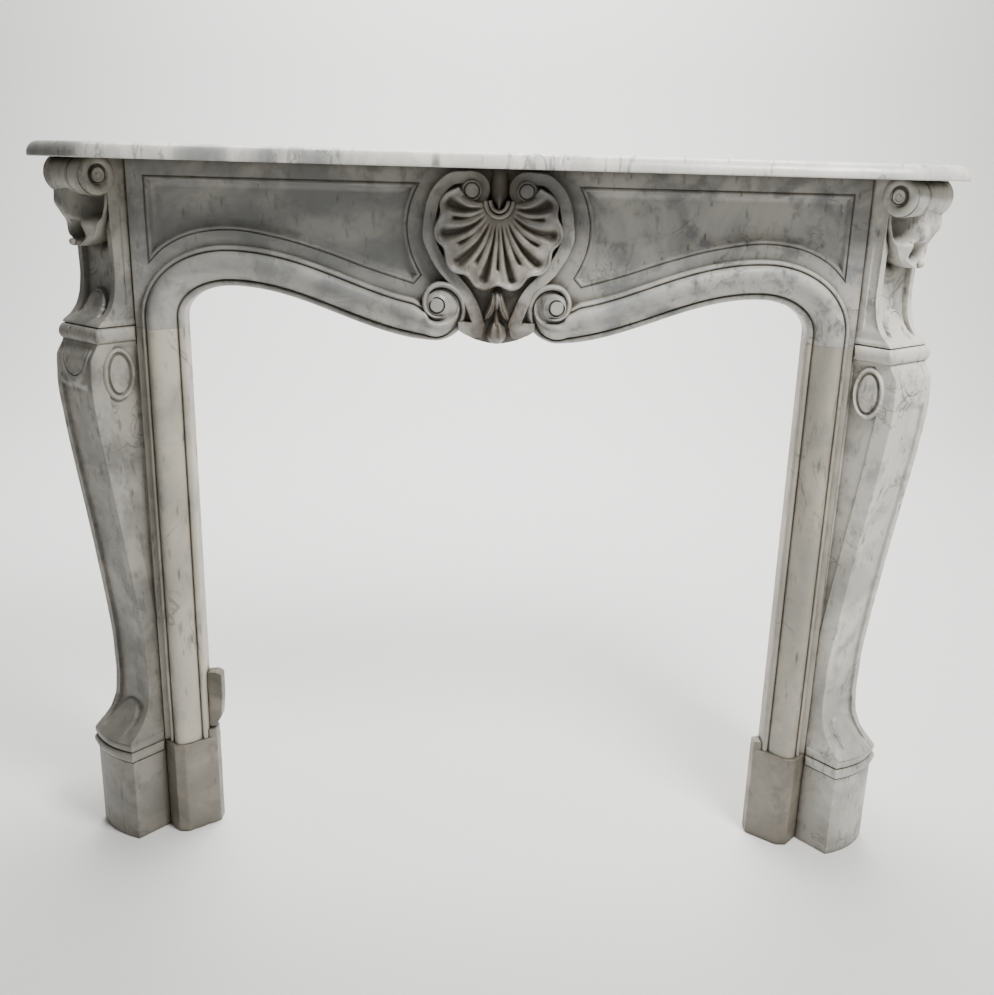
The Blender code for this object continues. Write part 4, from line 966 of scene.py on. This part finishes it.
# %% Frieze
slab = skin(slab_rings())
tools = []
for rings in (band_rings(), volute_rings(), scroll_rings(), scroll_foot_rings(), petal_rings(),
              core_rings(), turned(*SCROLL_EYE, COIL_EYE)):
    tools += both_hands(rings)
for rings in (shell_rings(), hinge_rings(0.0186, 0.0230, 0.0262, 0.0064),
              hinge_rings(0.0125, 0.0157, 0.0285, 0.0050), stem_rings(TONGUE, 8, 0.07, 2),
              stem_rings(STALK, 8), stem_rings(CALYX, 8, 0.10, 2), stem_rings(BULB, 8, 0.12, 3)):
    tools.append(skin(rings))
frieze = fuse("carved_frieze", slab, tools, both_hands(panel_rings()))
finish_piece(frieze, "carved_frieze", "frieze", frieze_stone)

# %% [markdown]
# A console is one tall block set at about 50 degrees.  Its skin is a stack of level
# sections.  Each section has the inner flank with its sunk field, the front band, the
# rounded arris, the carved front, and the same again on the outside.  A table of reaches
# gives the S of the profile, and the relief on the front is a function of place.

# %% Console sizes
DIAGONAL = radians(50.5)
CONSOLE_WIDTH, FOOT_WIDTH, FOOT_REACH, FOOT_BOW = 0.094, 0.100, 0.0610, 0.0095
BLOCK_TOP, TORUS_TOP, CONSOLE_BACK = 0.1405, 0.1730, 0.062
RING_BOTTOM, RING_TOP, RING_SWELL = 0.8155, 0.8440, 0.0058
SCROLL_RADIUS, SCROLL_REACH, SCROLL_LEVEL = 0.027, 0.0415, 1.0470
FLANK_BAND, FLANK_SINK, ARRIS = 0.0270, 0.0030, 0.0014
CHANNEL_BORDER, CHANNEL_DEPTH, THROAT_DEPTH = 0.0125, 0.0048, 0.0085
FOOT_INSET = (FOOT_WIDTH - CONSOLE_WIDTH) / 2
ANKLE_LEVEL, KNEE_LEVEL, THROAT_LEVEL, HOLLOW_LEVEL = 0.192, 0.803, 0.850, 1.008
REACH = [
    (TORUS_TOP, FOOT_REACH - 0.001), (0.1790, 0.0545), (0.1900, 0.0440), (0.2050, 0.0330), (0.2260, 0.0242),
    (0.2650, 0.0205), (0.3200, 0.0215), (0.3850, 0.0275), (0.4600, 0.0370), (0.5400, 0.0480),
    (0.6200, 0.0600), (0.6900, 0.0695), (0.7550, 0.0755), (0.7900, 0.0738), (RING_BOTTOM, 0.0608),
    (0.8380, 0.0570), (0.8450, 0.0520), (0.8520, 0.0440), (0.8650, 0.0340), (0.8850, 0.0275),
    (0.9150, 0.0245), (0.9550, 0.0252), (1.0000, 0.0262), (PIECE_TOP, 0.0285),
]


def on_diagonal(reach, side, up):
    """Point of the right console: reach along its diagonal, side across its face."""
    across = CONSOLE_JOINT + reach * cos(DIAGONAL) + side * sin(DIAGONAL)
    return place(across, reach * sin(DIAGONAL) - side * cos(DIAGONAL), up)


def half_round(up, low, high, proud):
    """A half-round moulding between two heights."""
    t = np.clip((up - low) / (high - low), 0, 1)
    return proud * np.sqrt(np.clip(1 - (2 * t - 1) ** 2, 0, 1))


def swell(up):
    """How far foot, torus and ring stand out all round."""
    foot = FOOT_INSET * (1 - rise(up, TORUS_TOP, TORUS_TOP + 0.030))
    groove = -0.0018 * hump(up, BLOCK_TOP + 0.0004, 0.0015) - 0.0010 * hump(up, 0.1592, 0.0012)
    torus = half_round(up, BLOCK_TOP + 0.0012, 0.1586, 0.0042)
    torus = torus + half_round(up, 0.1598, TORUS_TOP + 0.001, 0.0026)
    ring = half_round(up, RING_BOTTOM, RING_BOTTOM + 0.0215, RING_SWELL)
    ring = ring - 0.0012 * hump(up, 0.8376, 0.0010)
    fillet = 0.0016 * rise(up, 0.8380, 0.8390) * (1 - rise(up, RING_TOP - 0.002, RING_TOP + 0.004))
    return foot + groove + torus + ring + fillet


# %% [markdown]
# The front of the shaft is a long sunk channel between two borders.  At the ankle it
# ends around an arched tongue that rises from the foot.  At the knee two nested tongues
# hang from the ring.  The throat has a smaller channel with its own arched tongue and a
# bent groove, and behind the leaf it is hollowed out to a cave.

# %% Console relief
def front_relief(side, up):
    """How deep the front is cut: channel depth outside the tongues, plus fine outlines."""
    s = np.abs(side)
    half = CONSOLE_WIDTH / 2
    inside = 1 - rise(s, half - CHANNEL_BORDER - 0.0009, half - CHANNEL_BORDER + 0.0006)

    def tongue(width, level, tall):
        """Above 0 inside an arch: half width, level where its curve starts, height (- hangs)."""
        return 1 - ((s / width) ** 2 + np.clip((up - level) / tall, 0, None) ** 2)

    ankle = tongue(0.0265, ANKLE_LEVEL, 0.034)
    shaft = inside * rise(up, 0.1800, 0.1860) * (1 - rise(up, 0.745, 0.757))
    shaft = shaft * (1 - rise(ankle, 0.0, 0.10))
    first = tongue(0.0300, KNEE_LEVEL, -0.036)
    second = tongue(0.0345, KNEE_LEVEL, -0.046)
    knee = 0.0024 * hump(first, 0.0, 0.07)
    knee = knee + 0.0020 * rise(-second, 0.0, 0.07) * (1 - rise(-second, 0.10, 1.0))
    knee = knee * rise(up, 0.735, 0.760) * (1 - rise(up, 0.805, 0.812))
    cusp = 0.0022 * hump(s, 0.0, 0.009) * rise(up, 0.700, 0.735) * (1 - rise(up, 0.742, 0.752))
    throat_tongue = tongue(0.0260, THROAT_LEVEL, 0.040)
    throat = inside * rise(up, 0.846, 0.856) * (1 - rise(up, 0.955, 0.975))
    throat = throat * (1 - rise(throat_tongue, 0.0, 0.10)) + 0.22 * hump(throat_tongue, 0.22, 0.06)
    bend = side - 0.006 * np.sin((up - 0.885) / 0.070 * 2 * pi)
    groove = -0.0042 * hump(bend, 0.0, 0.008) * rise(up, 0.885, 0.900) * (1 - rise(up, 0.955, 0.97))
    hollow = np.abs((s - 0.0225) / 0.0160) ** 4 + np.abs((up - HOLLOW_LEVEL) / 0.0190) ** 4
    cup = np.abs(s / 0.022) ** 3 + np.abs((up - 0.9650) / 0.0170) ** 3
    cave = 0.022 * np.exp(-hollow) + 0.012 * np.exp(-cup)
    return np.maximum(CHANNEL_DEPTH * shaft, THROAT_DEPTH * throat) + knee + groove - cusp * inside + cave


def flank_sink(reach, up, front):
    """How deep the flank's field is sunk: below the band that follows the front arris."""
    open_up = rise(up, 0.36, 0.44) * (1 - rise(up, RING_BOTTOM - 0.012, RING_BOTTOM - 0.001))
    field = 1 - rise(reach, front - FLANK_BAND - 0.0016, front - FLANK_BAND)
    head = 0.0024 * rise(reach, 0.0080, 0.0096) * rise(up, 0.856, 0.872) * (1 - rise(up, 1.0, 1.02))
    return FLANK_SINK * field * open_up + head


def console_heights():
    """Levels of the sections, closer where the profile turns."""
    spans = [(0.0, 0.004, 4), (0.005, 0.136, 14), (0.137, 0.179, 78), (0.180, 0.240, 40), (0.242, 0.690, 126),
             (0.692, 0.811, 84), (0.812, 0.845, 62), (0.846, 0.975, 84), (0.977, PIECE_TOP, 28)]
    return np.concatenate([np.linspace(a, b, n) for a, b, n in spans])[:, None]


def console_rings():
    """Sections from the floor to the shelf, all at once: columns run round from the joint."""
    up = console_heights()
    out = swell(up)
    reach = np.where(up > TORUS_TOP, read_knots(REACH, up[:, 0])[:, None], FOOT_REACH - FOOT_INSET)
    front = reach + out
    bow = FOOT_BOW * (1 - rise(up, TORUS_TOP, TORUS_TOP + 0.05))
    left, right = FOOT_INSET - out, FOOT_INSET + CONSOLE_WIDTH + out
    inner = CONSOLE_JOINT + GAP
    eased = ARRIS * (1 + 0.8 * np.clip(waver(up, 0 * up, 0.02, 9), 0, 1))
    eased = eased + 0.0036 * rise(up, RING_BOTTOM, RING_BOTTOM + 0.002) * (1 - rise(up, 0.835, 0.837))

    lean = (inner - CONSOLE_JOINT - left * sin(DIAGONAL)) / cos(DIAGONAL)
    a = np.linspace(0, 1, 30)[None]
    flank_u = lean + (front - eased - lean) * a
    edges = -FLANK_BAND - np.array([0.0030, 0.0016, 0.0010, 0.0005, 0.0])
    flank_u = np.sort(np.hstack([flank_u, np.clip(front + edges, lean + 0.0004, None)]), axis=1)
    flank_n = left + flank_sink(flank_u, up, front)
    flank_n[:, 0] = left[:, 0]

    turn = np.linspace(0, pi / 2, 6)[None, 1:]
    arris_u = front - eased + eased * np.sin(turn)
    arris_n = left + eased - eased * np.cos(turn)

    share = [np.linspace(*span) for span in ((0.012, 0.10, 7), (0.108, 0.165, 14), (0.18, 0.5, 19))]
    share = np.concatenate([*share, 1 - np.concatenate(share)[::-1][1:]])[None]
    face_n = left + eased + (right - left - 2 * eased) * share
    middle = FOOT_INSET + CONSOLE_WIDTH / 2
    face_u = front + bow * (1 - (2 * share - 1) ** 2) - front_relief(face_n - middle, up)
    face_u = face_u + 0.0004 * waver(face_n, up, 0.03, 4)

    far_u, far_n = arris_u[:, ::-1], left + right - arris_n[:, ::-1]
    b = np.linspace(1, 0, 22)[None]
    back = (CONSOLE_BACK - right * cos(DIAGONAL)) / sin(DIAGONAL)
    out_u = -back + (front - eased + back) * b
    out_n = right - flank_sink(out_u, up, front)
    u = np.hstack([flank_u, arris_u, face_u, far_u, out_u])
    n = np.hstack([flank_n, arris_n, face_n, far_n, out_n])
    ring = on_diagonal(u, n, up)
    ring[..., 0] = np.maximum(ring[..., 0], inner)
    corner = place(np.full_like(up, inner), np.full_like(up, -CONSOLE_BACK), up)
    return np.concatenate([corner, ring], axis=1)


# %% [markdown]
# Above the throat an acanthus leaf hangs from a roll that lies across the top.  The roll
# is turned in bands, and each end is a snail eye: a broad rim, a deep ring groove, and a
# button with a fine spiral.  The knee has an oval medallion on its inner flank.

# %% Roll, eyes, leaf and medallion
ROLL_END = 0.0070
BEAD = (0.0575, 0.0520, 0.9560, 0.0050)


def roll_rings():
    """The roll: its radius along the face swells in bands with grooves between them."""
    side = np.linspace(ROLL_END, FOOT_WIDTH - ROLL_END, 120)[:, None]
    waist = 0.0016 * np.sin(pi * np.clip((side - 0.041) / 0.029, 0, 1))
    bell = 0.0014 * (1 - rise(side, 0.004, 0.034)) - waist
    grooves = 0.0024 * (hump(side, 0.0360, 0.0016) + hump(side, 0.0400, 0.0014))
    fillets = 0.0011 * (hump(side, 0.0728, 0.0022) + hump(side, 0.0858, 0.0022))
    hollow = 0.0012 * hump(side, 0.0793, 0.0050) + 0.0020 * hump(side, 0.0925, 0.0055)
    radius = SCROLL_RADIUS - 0.0010 + bell + fillets - grooves - hollow
    a = np.arange(64)[None] * 2 * pi / 64
    up = np.minimum(SCROLL_LEVEL + radius * np.sin(a), PIECE_TOP)
    return on_diagonal(SCROLL_REACH + radius * np.cos(a), side, up)


def snail_rings(side, outward):
    """An end of the roll: a broad rounded rim, a deep ring groove, and a flat button."""
    radius = np.concatenate([[0.0272, 0.0272], np.linspace(0.0271, 0.0004, 64)])[:, None]
    a = np.arange(72)[None] * 2 * pi / 72
    rim = 0.0056 * np.sqrt(np.clip(1 - ((radius - 0.0205) / 0.0072) ** 2, 0, 1))
    groove = 0.0022 * rise(-radius, -0.0152, -0.0138) * (1 - rise(-radius, -0.0106, -0.0096))
    bridge = hump(a, 1.30 * pi, 1.3)
    groove = groove * (1 - bridge) - 0.0036 * bridge * hump(radius, 0.0122, 0.0030)
    button = 0.0056 * rise(-radius, -0.0106, -0.0092)
    spiral = 0.0010 * hump(radius, 0.0030 + 0.0040 * (a / (2 * pi)), 0.0013)
    depth = 0.0056 + groove + spiral - rim - button
    depth[0] = 0.014
    up = np.minimum(SCROLL_LEVEL + 0.0014 + radius * np.sin(a), PIECE_TOP - 0.0002)
    return on_diagonal(SCROLL_REACH - 0.0008 + radius * np.cos(a), side + outward * depth, up)


def medallion_rings():
    """Oval ring and boss: each step is an ellipse (half width, half height, depth)."""
    steps = through([(0.0266, 0.0390, 0.0085), (0.0264, 0.0388, 0.0010), (0.0256, 0.0380, -0.0012),
                     (0.0236, 0.0358, -0.0036), (0.0214, 0.0334, -0.0030), (0.0194, 0.0313, 0.0002),
                     (0.0184, 0.0302, 0.0014), (0.0170, 0.0290, 0.0010), (0.0156, 0.0278, -0.0012),
                     (0.0144, 0.0266, -0.0026), (0.0090, 0.0200, -0.0030), (0.0010, 0.0060, -0.0031)], 4)
    a = np.arange(64)[None] * 2 * pi / 64
    return on_diagonal(0.0305 + steps[:, :1] * np.cos(a), FOOT_INSET + steps[:, 2:3],
                       0.7690 + steps[:, 1:2] * np.sin(a))


LEAF = [
    (1.0320, 0.0040, 0.058, 0.0950, 0.031, 0.058, 0.056),
    (1.0180, 0.0040, 0.058, 0.0945, 0.032, 0.060, 0.057),
    (1.0060, 0.0045, 0.056, 0.0935, 0.034, 0.061, 0.056),
    (0.9950, 0.0075, 0.052, 0.0895, 0.039, 0.060, 0.052),
    (0.9840, 0.0105, 0.045, 0.0815, 0.041, 0.056, 0.049),
    (0.9740, 0.0150, 0.036, 0.0775, 0.041, 0.051, 0.050),
    (0.9650, 0.0200, 0.032, 0.0690, 0.042, 0.048, 0.054),
    (0.9580, 0.0270, 0.036, 0.0600, 0.043, 0.050, 0.058),
    (0.9505, 0.0390, 0.044, 0.0545, 0.046, 0.054, 0.057),
]


LEAF_SCOOPS = [(0.040, 0.0275, 0.0160, HOLLOW_LEVEL, 0.0190, 4), (0.004, 0.077, 0.006, 1.010, 0.013, 2),
               (0.026, 0.0515, 0.0118, 0.9725, 0.0125, 3.2)]


def leaf_rings():
    """Acanthus leaf drawn as rows: height, sides of rim, rib and rim, and their reaches.

    The rib winds down in an S.  reach = rib to rims by a smooth fall - scoops + lobe - edge.
    A deep hollow lies inside the rib below the roll, a shallow one outside it, and a cup
    outside it near the tip, where a small bead ends the leaf.
    """
    rows = through(LEAF, 12)
    up = rows[:, :1]
    s = np.linspace(-1, 1, 75)[None]
    inner, rib, outer = (rows[:, i:i + 1] for i in (1, 2, 3))
    near, mid, far = (rows[:, i:i + 1] for i in (4, 5, 6))
    side = np.where(s < 0, rib + (rib - inner) * s, rib + (outer - rib) * s)
    fall = rise(np.abs(s), 0.12, 1.0)
    reach = mid * (1 - fall) + np.where(s < 0, near, far) * fall
    scoop = sum(deep * np.exp(-np.abs((side - middle) / half) ** power - np.abs((up - level) / tall) ** power)
                for deep, middle, half, level, tall, power in LEAF_SCOOPS)
    lobe = 0.003 * hump(side, 0.087, 0.009) * hump(up, 1.010, 0.012)
    edge = 0.0025 * (1 - np.clip((1 - np.abs(s)) / 0.06, 0, 1)) ** 2
    reach = reach - scoop + lobe - edge
    low = np.minimum(0.002, near - 0.02)
    rear = on_diagonal(low, np.hstack([outer - 0.012, inner + 0.008]), up + 0.003)
    return np.concatenate([on_diagonal(reach, side, up), rear], axis=1)


def bead_rings():
    """The bead that the leaf's tip ends in: circles stacked from its foot to its top."""
    a = np.linspace(-pi / 2 + 0.05, pi / 2 - 0.05, 17)[:, None]
    b = np.arange(24)[None] * 2 * pi / 24
    reach, side, up, radius = BEAD
    return on_diagonal(reach + radius * np.cos(a) * np.cos(b), side + radius * np.cos(a) * np.sin(b),
                       up + radius * np.sin(a))


# %% Consoles
for side, hand, finish in (("left", -1, left_stone), ("right", 1, right_stone)):
    parts = [skin(rings, hand) for rings in (roll_rings(), leaf_rings(), bead_rings(), snail_rings(0.0, 1),
                                             snail_rings(FOOT_WIDTH, -1), medallion_rings())]
    console = fuse(f"{side}_carved_console", skin(console_rings(), hand), parts)
    finish_piece(console, f"{side}_carved_console", f"{side}_console", finish)

# %% [markdown]
# The mantel stands on a pale floor in soft light.  A soft lamp high on the right gives the
# bright right-hand faces, a broad one lights the paper behind, and the pale world fills
# the rest.

# %% Floor and light
def paper_sweep():
    """Pale paper: level floor, then a quarter circle up into a wall, carried across."""
    turn = np.linspace(0, pi / 2, 25)
    line = [(-7.0, -0.0005), (2.5, -0.0005)] + [(2.5 + 1.5 * sin(a), 1.5 - 1.5 * cos(a)) for a in turn[1:]]
    line = np.array(line + [(4.0, 5.5)])
    points = np.stack(np.broadcast_arrays([[-8.0], [8.0]], line[:, 0], line[:, 1]), -1)
    i = np.arange(len(line) - 1)
    mesh = bpy.data.meshes.new("paper_sweep")
    faces = np.stack([i, i + len(line), i + len(line) + 1, i + 1], 1).tolist()
    mesh.from_pydata(points.reshape(-1, 3).tolist(), [], faces)
    mesh.shade_smooth()
    return mesh


floor_mesh = paper_sweep()
floor = bpy.data.objects.new("paper_sweep", floor_mesh)
bpy.context.scene.collection.objects.link(floor)
paper = bpy.data.materials.new("pale_studio_paper")
paper.use_nodes = True
paper.node_tree.nodes["Principled BSDF"].inputs["Base Color"].default_value = linear("#f4f3f1")
paper.node_tree.nodes["Principled BSDF"].inputs["Roughness"].default_value = 0.95
floor_mesh.materials.append(paper)

world = bpy.data.worlds.new("pale_studio")
world.use_nodes = True
world.node_tree.nodes["Background"].inputs["Color"].default_value = linear("#f4f5f7")
world.node_tree.nodes["Background"].inputs["Strength"].default_value = 0.17
bpy.context.scene.world = world


def lamp(name, place_at, aim, size, power):
    """A square soft lamp that looks at a point."""
    light = bpy.data.lights.new(name, "AREA")
    light.size, light.energy = size, power
    obj = bpy.data.objects.new(name, light)
    obj.location = place_at
    obj.rotation_euler = (Vector(aim) - Vector(place_at)).to_track_quat("-Z", "Y").to_euler()
    bpy.context.scene.collection.objects.link(obj)


lamp("high_right_lamp", (0.95, -1.0, 2.45), (0.05, 0.0, 0.7), 0.70, 72)
lamp("backdrop_lamp", (0.0, 2.1, 3.2), (0.0, 2.9, 0.0), 3.0, 270)
print("lamps", len(bpy.data.lights))

# %% [markdown]
# The camera stands where the photographer stood: a little above the shelf's level,
# looking down by 17.45 degrees, rolled by 1.59 degrees.  The lens follows from the focal
# length measured in picture widths.

# %% Camera
PICTURE_WIDTH, PICTURE_HEIGHT = 994, 995
FOCAL_PIXELS, CENTRE_X, CENTRE_Y = 1110.0, 501.0, 511.1
YAW, PITCH, ROLL = radians(-0.51), radians(17.45), radians(1.59)
EYE = (0.0, FRONT_Y - 1.63086, 1.07964)

lens = bpy.data.cameras.new("camera")
lens.sensor_fit = "AUTO"
lens.sensor_width = 36.0
lens.lens = FOCAL_PIXELS * lens.sensor_width / PICTURE_HEIGHT
lens.shift_x = (PICTURE_WIDTH / 2 - CENTRE_X) / PICTURE_HEIGHT
lens.shift_y = (CENTRE_Y - PICTURE_HEIGHT / 2) / PICTURE_HEIGHT
ahead = Vector((-sin(YAW) * cos(PITCH), cos(YAW) * cos(PITCH), -sin(PITCH)))
level = Vector((cos(YAW), sin(YAW), 0.0))
upward = level.cross(ahead)
right_way = level * cos(ROLL) + upward * sin(ROLL)
up_way = upward * cos(ROLL) - level * sin(ROLL)
camera = bpy.data.objects.new("camera", lens)
camera.matrix_world = Matrix.Translation(EYE) @ Matrix((right_way, up_way, -ahead)).transposed().to_4x4()
bpy.context.scene.collection.objects.link(camera)
bpy.context.scene.camera = camera
print("lens", round(lens.lens, 2), "mm")
